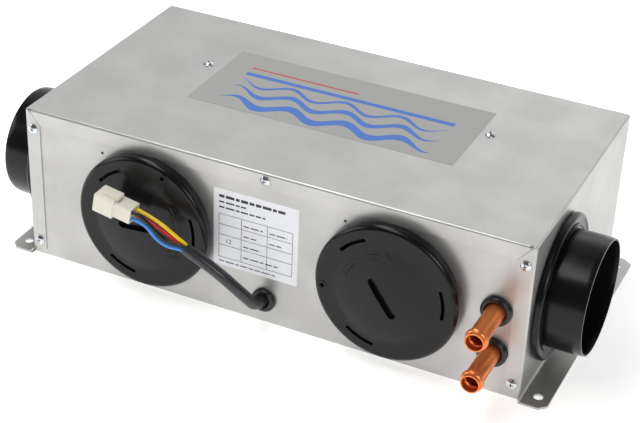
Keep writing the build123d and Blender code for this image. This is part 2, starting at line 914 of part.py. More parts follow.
def end_tank(side, holes):
    """Hollow brass tank on one end of the tubes, slotted for them and bored for tails."""
    middle_x = core_shift + side * (core_half_width + tank_width / 2)
    inner_x = core_shift + side * core_half_width
    depth, height = core_depth, core_high - core_low
    inner = tank_wall
    with BuildPart() as tank:
        with BuildSketch(Plane.XY.offset(core_low)):
            with Locations((middle_x, core_mid_y)):
                RectangleRounded(tank_width, depth, tank_corner)
        extrude(amount=height)
        with BuildSketch(Plane.XY.offset(core_low + inner)):
            with Locations((middle_x, core_mid_y)):
                RectangleRounded(tank_width - 2 * inner, depth - 2 * inner, tank_corner - inner)
        extrude(amount=height - 2 * inner, mode=Mode.SUBTRACT)
        with BuildSketch(Plane.YZ.offset(inner_x)):
            with Locations(*[(core_mid_y, tube_height) for tube_height in tube_heights]):
                slot_width = flat_tube_thickness + 2 * braze_gap
                SlotOverall(tube_depth + 2 * braze_gap, slot_width)
        extrude(amount=side * 2 * inner, mode=Mode.SUBTRACT)
        if holes:
            with BuildSketch(Plane.XZ.offset(-core_front)):
                with Locations(*holes):
                    Circle(tail_d / 2 + braze_gap)
            extrude(amount=-2 * inner, mode=Mode.SUBTRACT)
    return tank


save(end_tank(1, [(tail_x, tail_low), (tail_x, tail_high)]), "supply_tank")
save(end_tank(-1, []), "return_tank")

# Baffle that sends the water out through the lower tubes and back through the upper ones
with BuildPart() as tank_baffle:
    with BuildSketch(Plane.XY.offset(tank_baffle_height)):
        with Locations((core_shift + core_half_width + tank_width / 2, core_mid_y)):
            clear = tank_wall + braze_gap
            width = tank_width - 2 * clear
            RectangleRounded(width, core_depth - 2 * clear, tank_corner - clear)
    extrude(amount=tank_wall)
save(tank_baffle, "tank_baffle")

# Two hat-shaped cradles that hold the core off the floor
with BuildPart() as core_cradles:
    for side in (-1, 1):
        with BuildSketch(Plane.YZ.offset(side * cradle_x - cradle_width / 2)):
            with BuildLine():
                floor = sheet + cradle_sheet / 2
                crown = core_low - cradle_sheet / 2
                Polyline(
                    (core_front - 8, floor),
                    (core_front + 4, floor),
                    (core_front + 4, crown),
                    (core_rear - 4, crown),
                    (core_rear - 4, floor),
                    (core_rear + 8, floor),
                )
            trace(line_width=cradle_sheet)
        extrude(amount=cradle_width)
save(core_cradles, "core_cradles")

# Foam above and below the core, so that no air passes round it
core_left = core_shift - core_half_width - tank_width
core_right = core_shift + core_half_width + tank_width
cradle_inner = cradle_x - cradle_width / 2 - 1
cradle_outer = cradle_x + cradle_width / 2 + 1
with BuildPart() as core_foam:
    with BuildSketch(Plane.XY.offset(core_high)):
        with Locations(((core_left + core_right) / 2, core_mid_y)):
            Rectangle(core_right - core_left, foam_strip_depth)
    extrude(amount=lid_under - core_high)
    with BuildSketch(Plane.XY.offset(sheet)):
        for left, right in (
            (core_left, -cradle_outer),
            (-cradle_inner, harness_x - loom_d),
            (harness_x + loom_d, cradle_inner),
            (cradle_outer, core_right),
        ):
            with Locations(((left + right) / 2, core_mid_y)):
                Rectangle(right - left, foam_strip_depth)
    extrude(amount=core_low - sheet)
save(core_foam, "core_foam")

# Foam frame that joins the core to the fan deck
with BuildPart() as core_seal_frame:
    with BuildSketch(Plane.XZ.offset(-deck_y)):
        with Locations((core_shift, (core_low + core_high) / 2)):
            Rectangle(2 * core_half_width, core_high - core_low)
            frame_inner = core_high - core_low - 2 * seal_frame_width
            Rectangle(
                2 * (core_half_width - seal_frame_width), frame_inner, mode=Mode.SUBTRACT
            )
    extrude(amount=seal_frame_depth)
save(core_seal_frame, "core_seal_frame")


def across(x):
    """Plane square to the shaft: its X points to the rear, its Y points up."""
    return Plane(origin=(x, blower_y, blower_height), x_dir=(0, 1, 0), z_dir=(1, 0, 0))


def polar(r, angle):
    return (r * cos(radians(angle)), r * sin(radians(angle)))


def fan_wheel(centre_x):
    """Double-inlet wheel: forward-curved blades on a centre disc, a ring at each end."""
    outer, inner = wheel_d / 2, wheel_d / 2 - blade_depth
    half = wheel_width / 2
    with BuildPart() as wheel:
        with BuildSketch(across(centre_x - half)):
            for n in range(blade_count):
                turn = n * 360 / blade_count
                with BuildLine():
                    ThreePointArc(
                        polar(inner, turn),
                        polar((inner + outer) / 2, turn - blade_lean / 3),
                        polar(outer - 0.3, turn - blade_lean),
                    )
            trace(line_width=blade_sheet)
        extrude(amount=wheel_width)
        for start in (centre_x - half, centre_x + half - wheel_ring):
            with BuildSketch(across(start)):
                Circle(outer)
                Circle(outer - blade_depth / 2, mode=Mode.SUBTRACT)
            extrude(amount=wheel_ring)
        with BuildSketch(across(centre_x - wheel_disc / 2)):
            Circle(outer - blade_depth / 2)
        extrude(amount=wheel_disc)
        with BuildSketch(across(centre_x - wheel_hub_length / 2)):
            Circle(wheel_hub_d / 2)
        extrude(amount=wheel_hub_length)
        with BuildSketch(across(centre_x - wheel_hub_length / 2)):
            Circle(shaft_d / 2)
        extrude(amount=wheel_hub_length, mode=Mode.SUBTRACT)
    return wheel


save(fan_wheel(-blower_x), "fan_wheel_left")
save(fan_wheel(blower_x), "fan_wheel_right")


def scroll_face(grow):
    """Volute of three quarter arcs with its outlet towards the fan deck."""
    h = scroll_step / 2
    r1 = scroll_start_radius + grow
    r2 = r1 + scroll_step
    r3 = r2 + scroll_step
    outlet = deck_y + deck_sheet - blower_y
    c = cos(radians(45))
    with BuildSketch() as face:
        with BuildLine():
            ThreePointArc((h - r1, h), (h - r1 * c, h + r1 * c), (h, h + r1))
            ThreePointArc((h, h + r1), (h + r2 * c, r2 * c - h), (h + r2, -h))
            ThreePointArc((h + r2, -h), (r3 * c - h, -h - r3 * c), (-h, -h - r3))
            Polyline(
                (-h, -h - r3),
                (outlet, -h - r3),
                (outlet, scroll_tongue + grow),
                (h - r1, scroll_tongue + grow),
                (h - r1, h),
            )
        make_face()
    return face.sketch


def scroll_half(split_x, outward):
    """Half of a blower scroll: side plate with a lipped inlet, and the volute wall."""
    split = Plane(origin=(split_x, blower_y, blower_height), x_dir=(0, 1, 0), z_dir=(1, 0, 0))
    half = scroll_width / 2
    side = split.offset(outward * half)
    outlet = deck_y + deck_sheet - blower_y
    low = -scroll_start_radius - 2.5 * scroll_step - scroll_wall - scroll_flange
    high = scroll_tongue + scroll_wall + scroll_flange
    with BuildPart() as scroll:
        with BuildSketch(split):
            add(scroll_face(scroll_wall))
        extrude(amount=outward * half)
        # outlet flange against the deck
        with BuildSketch(split):
            with Locations((outlet + scroll_wall / 2, (low + high) / 2)):
                Rectangle(scroll_wall, high - low)
        extrude(amount=outward * (half + scroll_flange))
        with BuildSketch(side):
            Circle(scroll_inlet_d / 2 + scroll_wall)
        extrude(amount=outward * (scroll_inlet_lip - scroll_wall))
        with BuildSketch(split):
            add(scroll_face(0))
        extrude(amount=outward * (half - scroll_wall), mode=Mode.SUBTRACT)
        with BuildSketch(split):
            Circle(scroll_inlet_d / 2)
        extrude(amount=outward * (half + scroll_inlet_lip), mode=Mode.SUBTRACT)
    return scroll


save(scroll_half(-blower_x, -1), "scroll_left_outer")
save(scroll_half(-blower_x, 1), "scroll_left_inner")
save(scroll_half(blower_x, -1), "scroll_right_inner")
save(scroll_half(blower_x, 1), "scroll_right_outer")


# Motor between the blowers
motor_r = motor_d / 2
can_half = motor_length / 2 - motor_cap_thickness
with BuildPart() as motor_can:
    with BuildSketch(across(-can_half)):
        Circle(motor_r)
        Circle(motor_r - motor_wall, mode=Mode.SUBTRACT)
    extrude(amount=2 * can_half)
save(motor_can, "motor_can")

with BuildPart() as motor_end_caps:
    for side in (-1, 1):
        with BuildSketch(across(side * can_half)):
            Circle(motor_r)
        extrude(amount=side * motor_cap_thickness)
        with BuildSketch(across(side * can_half)):
            Circle(bearing_boss_d / 2)
        extrude(amount=side * bearing_boss_length)
        with BuildSketch(across(side * can_half)):
            Circle(bush_d / 2)
        extrude(amount=side * bearing_boss_length, mode=Mode.SUBTRACT)
save(motor_end_caps, "motor_end_caps")

with BuildPart() as shaft_bushes:
    for side in (-1, 1):
        with BuildSketch(across(side * can_half)):
            Circle(bush_d / 2)
            Circle(shaft_d / 2 + running_clearance, mode=Mode.SUBTRACT)
        extrude(amount=side * bearing_boss_length)
save(shaft_bushes, "shaft_bushes")

with BuildPart() as motor_magnets:
    with BuildSketch(across(-armature_length / 2)):
        for middle in (0, half_turn):
            ring_sector(armature_d / 2 + magnet_gap, motor_r - motor_wall, middle, magnet_angle)
    extrude(amount=armature_length)
save(motor_magnets, "motor_magnets")

with BuildPart() as fan_shaft:
    shaft_half = blower_x + wheel_hub_length / 2 + 4
    with BuildSketch(across(-shaft_half)):
        Circle(shaft_d / 2)
    extrude(amount=2 * shaft_half)
save(fan_shaft, "fan_shaft")

with BuildPart() as armature:
    with BuildSketch(across(-armature_length / 2)):
        Circle(armature_d / 2)
        with PolarLocations(armature_d / 2 - 3.5, armature_slots):
            Rectangle(8, 3, mode=Mode.SUBTRACT)
        Circle(shaft_d / 2, mode=Mode.SUBTRACT)
    extrude(amount=armature_length)
save(armature, "armature")

with BuildPart() as armature_windings:
    for side in (-1, 1):
        with BuildSketch(across(side * armature_length / 2)):
            Circle(armature_d / 2 - winding_drop)
            Circle(shaft_d / 2, mode=Mode.SUBTRACT)
        extrude(amount=side * winding_length)
save(armature_windings, "armature_windings")

commutator_at = armature_length / 2 + winding_length
with BuildPart() as commutator:
    with BuildSketch(across(commutator_at)):
        Circle(commutator_d / 2)
        Circle(shaft_d / 2, mode=Mode.SUBTRACT)
    extrude(amount=commutator_length)
save(commutator, "commutator")

# Carbon brushes on the inside of one end cap
with BuildPart() as motor_brushes:
    for side in (-1, 1):
        with BuildSketch(across(can_half)):
            near = commutator_d / 2 + brush_gap
            with Locations((side * (near + brush_length / 2), 0)):
                Rectangle(brush_length, brush_width)
        extrude(amount=-(can_half - commutator_at - 1))
save(motor_brushes, "motor_brushes")

# Saddle: a bent plate whose uprights are cut to the motor's round, and two straps
saddle_top = blower_height - saddle_drop
saddle_x = (saddle_width - saddle_sheet) / 2
with BuildPart() as motor_saddle:
    with BuildSketch(Plane.XZ.offset(-blower_y - saddle_depth / 2)):
        with BuildLine():
            floor = sheet + saddle_sheet / 2
            FilletPolyline(
                (-saddle_x, saddle_top),
                (-saddle_x, floor),
                (saddle_x, floor),
                (saddle_x, saddle_top),
                radius=1.5 * saddle_sheet,
            )
        trace(line_width=saddle_sheet)
    extrude(amount=saddle_depth)
    with BuildSketch(across(-saddle_width)):
        Circle(motor_r)
    extrude(amount=2 * saddle_width, mode=Mode.SUBTRACT)
save(motor_saddle, "motor_saddle")

with BuildPart() as motor_straps:
    for side in (-1, 1):
        with BuildSketch(across(side * saddle_x - strap_width / 2)):
            with BuildLine():
                r = motor_r + strap_sheet / 2
                ear = strap_sheet / 2 - saddle_drop
                Line((-saddle_depth / 2, ear), (-r, ear))
                Line((-r, ear), (-r, 0))
                ThreePointArc((-r, 0), (0, r), (r, 0))
                Line((r, 0), (r, ear))
                Line((r, ear), (saddle_depth / 2, ear))
            trace(line_width=strap_sheet)
        extrude(amount=strap_width)
save(motor_straps, "motor_straps")

# Speed resistor on the rear of the deck, with the loom's plug on its three blades
deck_back = deck_y + deck_sheet
blade_low = resistor_height - resistor_width / 2 - resistor_blade_length
plug_top = blade_low + resistor_plug_grip
with BuildPart() as speed_resistor:
    with BuildSketch(Plane.XZ.offset(-deck_back)):
        with Locations((harness_x, resistor_height)):
            Rectangle(resistor_length, resistor_plate_width)
    extrude(amount=-resistor_plate)
    with BuildSketch(Plane.XZ.offset(-deck_back - resistor_plate)):
        with Locations((harness_x, resistor_height)):
            Rectangle(resistor_length - 4, resistor_width)
    extrude(amount=-resistor_thickness)
    with BuildSketch(Plane.XY.offset(blade_low)):
        with Locations((harness_x, loom_y)):
            with GridLocations(resistor_blade_pitch, 1, 3, 1):
                Rectangle(resistor_blade_width, resistor_blade_sheet)
    extrude(amount=resistor_blade_length + 1)
save(speed_resistor, "speed_resistor")

with BuildPart() as resistor_plug:
    with BuildSketch(Plane.XY.offset(plug_top)):
        with Locations((harness_x, loom_y)):
            RectangleRounded(resistor_plug_length, resistor_plug_width, 2)
    extrude(amount=-resistor_plug_height)
    with BuildSketch(Plane.XY.offset(plug_top)):
        with Locations((harness_x, loom_y)):
            with GridLocations(resistor_blade_pitch, 1, 3, 1):
                fit = 2 * braze_gap
                Rectangle(resistor_blade_width + fit, resistor_blade_sheet + fit)
    extrude(amount=-resistor_plug_grip - 1, mode=Mode.SUBTRACT)
save(resistor_plug, "resistor_plug")


def bend_radii(points):
    """Radius of each bend of a route, as large as its shorter run allows."""
    runs = [Vector(*b) - Vector(*a) for a, b in zip(points, points[1:])]
    radii = []
    for first, second in zip(runs, runs[1:]):
        half_bend = radians(first.get_angle(second)) / 2
        radii.append(0.45 * min(first.length, second.length) / tan(half_bend))
    return radii


def cord(points, outer_d, bore_d=0.0):
    """Round cord swept along a route of straight runs and arcs."""
    radii = bend_radii(points)
    with BuildPart() as swept:
        with BuildLine() as line:
            FilletPolyline(*points, radius=radii)
        route = line.wire()
        with BuildSketch(Plane(origin=route @ 0, z_dir=route % 0)) as section:
            Circle(outer_d / 2)
            if bore_d:
                Circle(bore_d / 2, mode=Mode.SUBTRACT)
        sweep()
    share = swept.part.volume / (section.sketch.area * route.length)
    bends = [round(radius, 1) for radius in radii]
    print("cord", round(route.length, 1), "bends", bends, "volume share", round(share, 4))
    return swept


# Harness inside: a taped loom along the floor, through the deck and up to the resistor
loom_route = [
    (1, -122, 23.5),
    (1, -90, 23.5),
    (1, -62, 8),
    (1, 17, 8),
    (1, 25, 16),
    (1, 25, plug_top - resistor_plug_height),
]
save(cord(loom_route, loom_d), "inner_loom")

with BuildPart() as loom_clips:
    for clip_y in clip_places:
        with BuildSketch(Plane.XZ.offset(-clip_y - clip_width / 2)):
            with BuildLine():
                r = loom_d / 2 + clip_sheet / 2
                foot = sheet + clip_sheet / 2
                Line((harness_x - 3 * r, foot), (harness_x - r, foot))
                Line((harness_x - r, foot), (harness_x - r, loom_height))
                ThreePointArc(
                    (harness_x - r, loom_height),
                    (harness_x, loom_height + r),
                    (harness_x + r, loom_height),
                )
                Line((harness_x + r, loom_height), (harness_x + r, foot))
                Line((harness_x + r, foot), (harness_x + 3 * r, foot))
            trace(line_width=clip_sheet)
        extrude(amount=clip_width)
save(loom_clips, "loom_clips")

# Harness outside: a sleeve out of its grommet, and four wires on to the plug
sleeve_route = [
    (1, -110, 23.5),
    (1, -132, 23.5),
    (-4, -141, 35.5),
    (-12, -149.5, 50),
    (-29, -155.5, 66.5),
    (-52.5, -158, 79.5),
]
save(cord(sleeve_route, sleeve_d, sleeve_d - 2 * sleeve_wall), "harness_sleeve")

wire_routes = {
    "yellow": [
        (-44.9, -155.7, 77),
        (-60.5, -156.8, 86.3),
        (-81, -153.9, 95.8),
        (-103.4, -153.8, 101.2),
    ],
    "red": [
        (-46.5, -155.6, 74.1),
        (-58, -156.6, 80.6),
        (-74, -155.3, 87.2),
        (-88.5, -154, 92.5),
        (-104.5, -153.8, 94.9),
    ],
    "black": [
        (-44.6, -158.9, 77),
        (-54, -159.8, 82.2),
        (-68, -160, 81.2),
        (-81, -160, 90),
        (-92, -160.1, 99.2),
        (-103.4, -160.2, 101.2),
    ],
    "blue": [
        (-46.2, -158.9, 74.1),
        (-55, -159.8, 79),
        (-67, -159.9, 77),
        (-78.5, -160, 81.2),
        (-86.5, -160, 90.4),
        (-94, -160.1, 93.6),
        (-104.5, -160.2, 94.9),
    ],
}
for colour, route in wire_routes.items():
    save(cord(route, wire_d), f"wire_{colour}")

# Plug housing: its Z is the way the other half is pushed on, its Y points up
tilt = radians(plug_tilt)
plug = Plane(
    origin=(-101, -157, 97.5), x_dir=(0, -1, 0), z_dir=(-cos(tilt), 0, sin(tilt))
)
plug_length = plug_rear_length + plug_nose_length
with BuildPart() as connector_housing:
    with BuildSketch(plug):
        RectangleRounded(plug_rear_width, plug_rear_height, plug_corner)
    extrude(amount=plug_rear_length)
    with BuildSketch(plug.offset(plug_rear_length)):
        RectangleRounded(plug_nose_width, plug_nose_height, plug_corner)
    extrude(amount=plug_nose_length)
    # latch rib on top
    with BuildSketch(plug.offset(plug_rear_length - 2)):
        with Locations((0, (plug_nose_height + plug_latch_rise) / 2)):
            Rectangle(plug_latch_width, plug_latch_rise)
    extrude(amount=plug_latch_length)
    nose_face = connector_housing.faces().sort_by(Axis(plug.origin, plug.z_dir))[-1]
    chamfer(nose_face.outer_wire().edges(), length=plug_nose_chamfer)
    with BuildSketch(plug):
        with GridLocations(cavity_pitch, cavity_pitch, 2, 2):
            Rectangle(cavity_size, cavity_size)
    extrude(amount=plug_length, mode=Mode.SUBTRACT)
    with BuildSketch(plug.offset(plug_length)):
        Rectangle(cavity_pitch + cavity_size + 2, cavity_pitch + cavity_size + 1)
    extrude(amount=-plug_mouth_depth, mode=Mode.SUBTRACT)
save(connector_housing, "connector_housing")

# Four terminals, each a folded square sleeve behind the end of its wire
with BuildPart() as connector_terminals:
    with BuildSketch(plug.offset(terminal_start)):
        with GridLocations(cavity_pitch, cavity_pitch, 2, 2):
            Rectangle(terminal_size, terminal_size)
        with GridLocations(cavity_pitch, cavity_pitch, 2, 2):
            bore = terminal_size - 2 * terminal_wall
            Rectangle(bore, bore, mode=Mode.SUBTRACT)
    extrude(amount=terminal_length)
save(connector_terminals, "connector_terminals")
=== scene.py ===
import math

import bmesh
import bpy
from mathutils import Matrix, Vector


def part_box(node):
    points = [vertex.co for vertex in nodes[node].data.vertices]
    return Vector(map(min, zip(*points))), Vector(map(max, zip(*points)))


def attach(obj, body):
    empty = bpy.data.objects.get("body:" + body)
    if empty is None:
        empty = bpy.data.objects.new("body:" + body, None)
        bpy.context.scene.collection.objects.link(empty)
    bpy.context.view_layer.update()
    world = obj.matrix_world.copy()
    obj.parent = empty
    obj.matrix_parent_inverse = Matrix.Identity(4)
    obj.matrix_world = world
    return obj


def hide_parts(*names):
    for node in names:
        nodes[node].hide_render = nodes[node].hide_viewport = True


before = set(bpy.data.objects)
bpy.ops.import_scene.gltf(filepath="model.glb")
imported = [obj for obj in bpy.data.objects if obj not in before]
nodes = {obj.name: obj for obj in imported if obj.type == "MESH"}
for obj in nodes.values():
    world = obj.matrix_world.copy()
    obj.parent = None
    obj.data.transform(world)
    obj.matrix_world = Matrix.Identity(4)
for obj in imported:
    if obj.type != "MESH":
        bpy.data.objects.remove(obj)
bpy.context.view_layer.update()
MM = 0.001

# Camera
# It stands where the photograph was taken from, worked out from the casing's corners: right of
# the front, a third of a right angle above it, and rolled a little anticlockwise.
CAMERA_PLACE = Vector((0.5056, -1.1296, 0.7955))
CAMERA_AZIMUTH = math.radians(24.32)
CAMERA_ELEVATION = math.radians(31.21)
CAMERA_ROLL = math.radians(2.43)
CAMERA_LENS_MM = 91.47
SENSOR_WIDTH_MM = 36

camera = bpy.data.objects.new("camera", bpy.data.cameras.new("camera"))
camera.data.lens = CAMERA_LENS_MM
camera.data.sensor_width = SENSOR_WIDTH_MM
camera.data.sensor_fit = "HORIZONTAL"
camera.matrix_world = (
    Matrix.Translation(CAMERA_PLACE)
    @ Matrix.Rotation(CAMERA_AZIMUTH, 4, "Z")
    @ Matrix.Rotation(math.pi / 2 - CAMERA_ELEVATION, 4, "X")
    @ Matrix.Rotation(CAMERA_ROLL, 4, "Z")
)
bpy.context.scene.collection.objects.link(camera)
bpy.context.scene.camera = camera

# Light
# A product photograph on white: a wide soft box overhead that the folds mirror, a weak one
# behind, one at each side in front, and a surround that is pale behind and dark in front.
SURROUND = "#f6f7fa"
SURROUND_FRONT = 0.07
SURROUND_BACK = 0.95
SURROUND_LIFT = (0.0, 1.0, -0.35)
SURROUND_FROM = -0.15
SURROUND_TO = 0.8
# place and aim in metres, width and height in metres, watts
LAMPS = {
    "overhead": ((-0.5, -0.15, 1.7), (0, 0, 0.1), (2.4, 0.6), 17),
    "behind": ((0.1, 1.9, 1.2), (0, 0, 0.14), (1.6, 0.9), 1.8),
    "left": ((-1.8, -0.7, 0.9), (0, 0, 0.08), (1.2, 1.0), 9),
    "right_front": ((1.5, -1.3, 1.1), (0, 0, 0.08), (1.0, 0.8), 10),
}


def linear(hex_colour):
    """Linear RGBA of an sRGB hex value."""
    channels = [int(hex_colour[i : i + 2], 16) / 255 for i in (1, 3, 5)]
    low = [c / 12.92 if c <= 0.04045 else ((c + 0.055) / 1.055) ** 2.4 for c in channels]
    return (*low, 1.0)


def add_node(owner, kind, inputs=None, **settings):
    """Adds a shader node. An input given as a socket is linked, any other value is set."""
    node = owner.node_tree.nodes.new("ShaderNode" + kind)
    for name, value in settings.items():
        setattr(node, name, value)
    for name, value in (inputs or {}).items():
        if isinstance(value, bpy.types.NodeSocket):
            owner.node_tree.links.new(value, node.inputs[name])
        else:
            node.inputs[name].default_value = value
    return node


for lamp_name, (stand, aim, size, watts) in LAMPS.items():
    lamp = bpy.data.lights.new(lamp_name, "AREA")
    lamp.shape = "RECTANGLE"
    lamp.size, lamp.size_y = size
    lamp.energy = watts
    holder = bpy.data.objects.new(lamp_name, lamp)
    holder.location = stand
    towards = Vector(aim) - Vector(stand)
    holder.rotation_euler = towards.to_track_quat("-Z", "Y").to_euler()
    bpy.context.scene.collection.objects.link(holder)

surround = bpy.data.worlds.new("surround")
surround.use_nodes = True
surround.node_tree.nodes.clear()
direction = add_node(surround, "TexCoord").outputs["Generated"]
inputs = {0: direction, 1: SURROUND_LIFT}
backwards = add_node(surround, "VectorMath", inputs, operation="DOT_PRODUCT")
fall_off = {"Value": backwards.outputs["Value"], "From Min": SURROUND_FROM}
fall_off |= {"From Max": SURROUND_TO, "To Min": SURROUND_FRONT, "To Max": SURROUND_BACK}
glow = add_node(surround, "MapRange", fall_off)
sky_inputs = {"Color": linear(SURROUND), "Strength": glow.outputs["Result"]}
sky = add_node(surround, "Background", sky_inputs)
add_node(surround, "OutputWorld", {"Surface": sky.outputs["Background"]})
bpy.context.scene.world = surround
bpy.context.scene.view_settings.view_transform = "Standard"

# Floor
# A sheet of white paper, matt and evenly lit, that the object stands on with its underside.
PAPER = "#fbfbfa"
PAPER_FIBRE = "#f7f7f6"
PAPER_SPECK_MM = 4.0
PAPER_ROUGHNESS = 0.85
PAPER_GLOW = 0.6
FLOOR_REACH = 12.0
FLOOR_DROP = 0.2 * MM


def new_material(name):
    """Material whose shader nodes are still to come."""
    material = bpy.data.materials.new(name)
    material.use_nodes = True
    material.node_tree.nodes.clear()
    return material


# white paper stays plain white, with specks that are hardly seen
paper = new_material("white_paper")
place = add_node(paper, "TexCoord").outputs["Object"]
speck = add_node(paper, "TexNoise", {"Vector": place, "Scale": 1 / (PAPER_SPECK_MM * MM)})
inputs = {0: speck.outputs["Fac"], 6: linear(PAPER), 7: linear(PAPER_FIBRE)}
tone = add_node(paper, "Mix", inputs, data_type="RGBA")
inputs = {"Base Color": tone.outputs[2], "Roughness": PAPER_ROUGHNESS}
inputs |= {"Emission Color": linear(PAPER), "Emission Strength": PAPER_GLOW}
surface = add_node(paper, "BsdfPrincipled", inputs)
add_node(paper, "OutputMaterial", {"Surface": surface.outputs["BSDF"]})

floor_mesh = bpy.data.meshes.new("floor")
corners = [(x * FLOOR_REACH, y * FLOOR_REACH, 0) for x, y in ((-1, -1), (1, -1), (1, 1), (-1, 1))]
floor_mesh.from_pydata(corners, [], [(0, 1, 2, 3)])
floor = bpy.data.objects.new("floor", floor_mesh)
floor.location.z = -FLOOR_DROP
floor_mesh.materials.append(paper)
bpy.context.scene.collection.objects.link(floor)

# Casing
# The cover and the tray are folded from 1 mm cold-rolled stainless sheet with a 2B finish:
# satin, with hardly visible rolling streaks along the length and cloudy marks of handling.
# The tray is a little darker than the cover: painted shade that marks the seam along the lips.
# each sheet's tone where it is clean and where it was handled
SHEET_TONES = {"cover": ("#cdccc9", "#c2c1be"), "base_tray": ("#cac9c7", "#bdbcba")}
ROLLING_STREAK_MM = (160.0, 2.2, 2.2)
HANDLING_MARK_MM = 45.0
HANDLING_MARK_RANGE = (0.35, 0.65)
STEEL_DIFFUSE = 0.38
STEEL_ROUGHNESS = 0.3
HANDLED_ROUGHER = 0.03
STREAKS_ROUGHER = 0.02
FACET_JOIN = 0.002 * MM
SHARP_FROM_DEGREES = 32


def smooth_group():
    """Modifier group that joins loose facets and shades them smooth up to an angle."""
    group = bpy.data.node_groups.new("smooth_by_angle", "GeometryNodeTree")
    group.interface.new_socket("Geometry", in_out="INPUT", socket_type="NodeSocketGeometry")
    group.interface.new_socket("Geometry", in_out="OUTPUT", socket_type="NodeSocketGeometry")
    made = group.nodes
    start = made.new("NodeGroupInput")
    merge = made.new("GeometryNodeMergeByDistance")
    merge.inputs["Distance"].default_value = FACET_JOIN
    all_smooth = made.new("GeometryNodeSetShadeSmooth")
    sharp = made.new("GeometryNodeSetShadeSmooth")
    sharp.domain = "EDGE"
    sharp.inputs["Shade Smooth"].default_value = False
    angle = made.new("GeometryNodeInputMeshEdgeAngle")
    over = made.new("FunctionNodeCompare")
    over.operation = "GREATER_THAN"
    over.inputs[1].default_value = math.radians(SHARP_FROM_DEGREES)
    end = made.new("NodeGroupOutput")
    group.links.new(start.outputs[0], merge.inputs["Geometry"])
    group.links.new(merge.outputs["Geometry"], all_smooth.inputs["Geometry"])
    group.links.new(all_smooth.outputs[0], sharp.inputs["Geometry"])
    group.links.new(angle.outputs["Unsigned Angle"], over.inputs[0])
    group.links.new(over.outputs["Result"], sharp.inputs["Selection"])
    group.links.new(sharp.outputs[0], end.inputs[0])
    return group


SMOOTH = smooth_group()


def finish_nodes(material, *names):
    """Gives CAD nodes their material and smooth shading."""
    for name in names:
        node = nodes[name]
        node.data.materials.clear()
        node.data.materials.append(material)
        node.modifiers.new("smooth", "NODES").node_group = SMOOTH
        evened = node.modifiers.new("even_flats", "WEIGHTED_NORMAL")
        evened.keep_sharp = True


# stainless sheet mirrors what stands near it as a soft haze, over a cloudy satin grey
for sheet_name, (clean, handled) in SHEET_TONES.items():
    steel = new_material(f"stainless_2b_{sheet_name}")
    place = add_node(steel, "TexCoord").outputs["Object"]
    along = [1 / (size * MM) for size in ROLLING_STREAK_MM]
    rolled = add_node(steel, "Mapping", {"Vector": place, "Scale": along})
    streaks = add_node(steel, "TexNoise", {"Vector": rolled.outputs["Vector"], "Scale": 1.0})
    inputs = {"Vector": place, "Scale": 1 / (HANDLING_MARK_MM * MM), "Detail": 4.0}
    marks = add_node(steel, "TexNoise", inputs)
    from_min, from_max = HANDLING_MARK_RANGE
    inputs = {"Value": marks.outputs["Fac"], "From Min": from_min, "From Max": from_max}
    cloud = add_node(steel, "MapRange", inputs)
    inputs = {0: cloud.outputs["Result"], 6: linear(clean), 7: linear(handled)}
    tone = add_node(steel, "Mix", inputs, data_type="RGBA")
    inputs = {0: cloud.outputs["Result"], 1: HANDLED_ROUGHER, 2: STEEL_ROUGHNESS}
    satin = add_node(steel, "Math", inputs, operation="MULTIPLY_ADD")
    inputs = {0: streaks.outputs["Fac"], 1: STREAKS_ROUGHER, 2: satin.outputs["Value"]}
    gloss = add_node(steel, "Math", inputs, operation="MULTIPLY_ADD")
    inputs = {"Base Color": tone.outputs[2], "Roughness": gloss.outputs["Value"]}
    inputs |= {"Metallic": 1 - STEEL_DIFFUSE}
    surface = add_node(steel, "BsdfPrincipled", inputs)
    add_node(steel, "OutputMaterial", {"Surface": surface.outputs["BSDF"]})
    finish_nodes(steel, sheet_name)

# Screws
# Zinc-plated pan-head sheet-metal screws with a cross recess, ten round the lips of the
# casing and two in the lid. The heads are rounded over, the plating is bluish and bright.
HEAD_R = 4.5 * MM
# the CAD's plain heads are a little smaller, and their boxes give the places
CAD_HEAD_R = 4.2 * MM
HEAD_RIM = 0.9 * MM
HEAD_HEIGHT = 2.6 * MM
RECESS_REACH = 2.3 * MM
RECESS_ARM = 0.85 * MM
RECESS_DEPTH = 1.7 * MM
RECESS_SUNK = 0.15 * MM
RECESS_FLOOR = 0.3 * MM
# width of the recess at its bottom and where its plug ends over the head, against the
# named width
RECESS_TAPER = (0.45, 1.1)
RECESS_OVER = 1.0 * MM
SHANK_R = 2.0 * MM
SHANK_LENGTH = 9.0 * MM
POINT_R = 0.8 * MM
DOME_STEPS = 8
BELOW_TOP_SCREW = 11.5 * MM
# turn of the first recess in a group and the step to the next one, in radians
FRONT_TURNS = (0.0, 0.5)
REAR_TURNS = (0.3, 0.7)
LID_TURNS = (0.4, 1.0)
ZINC = "#e6eaee"
ZINC_SHADE = "#c9ced4"
# two tones of the painted shade in the cross recess
RECESS_SHADE_DARK = "#2c2f33"
RECESS_SHADE_GREY = "#45494e"
ZINC_CLOUD_MM = 3.0
ZINC_ROUGHNESS = 0.14
ZINC_ROUGHER = 0.18
RECESS_GRAIN_MM = 1.0
RECESS_ROUGHNESS = 0.5

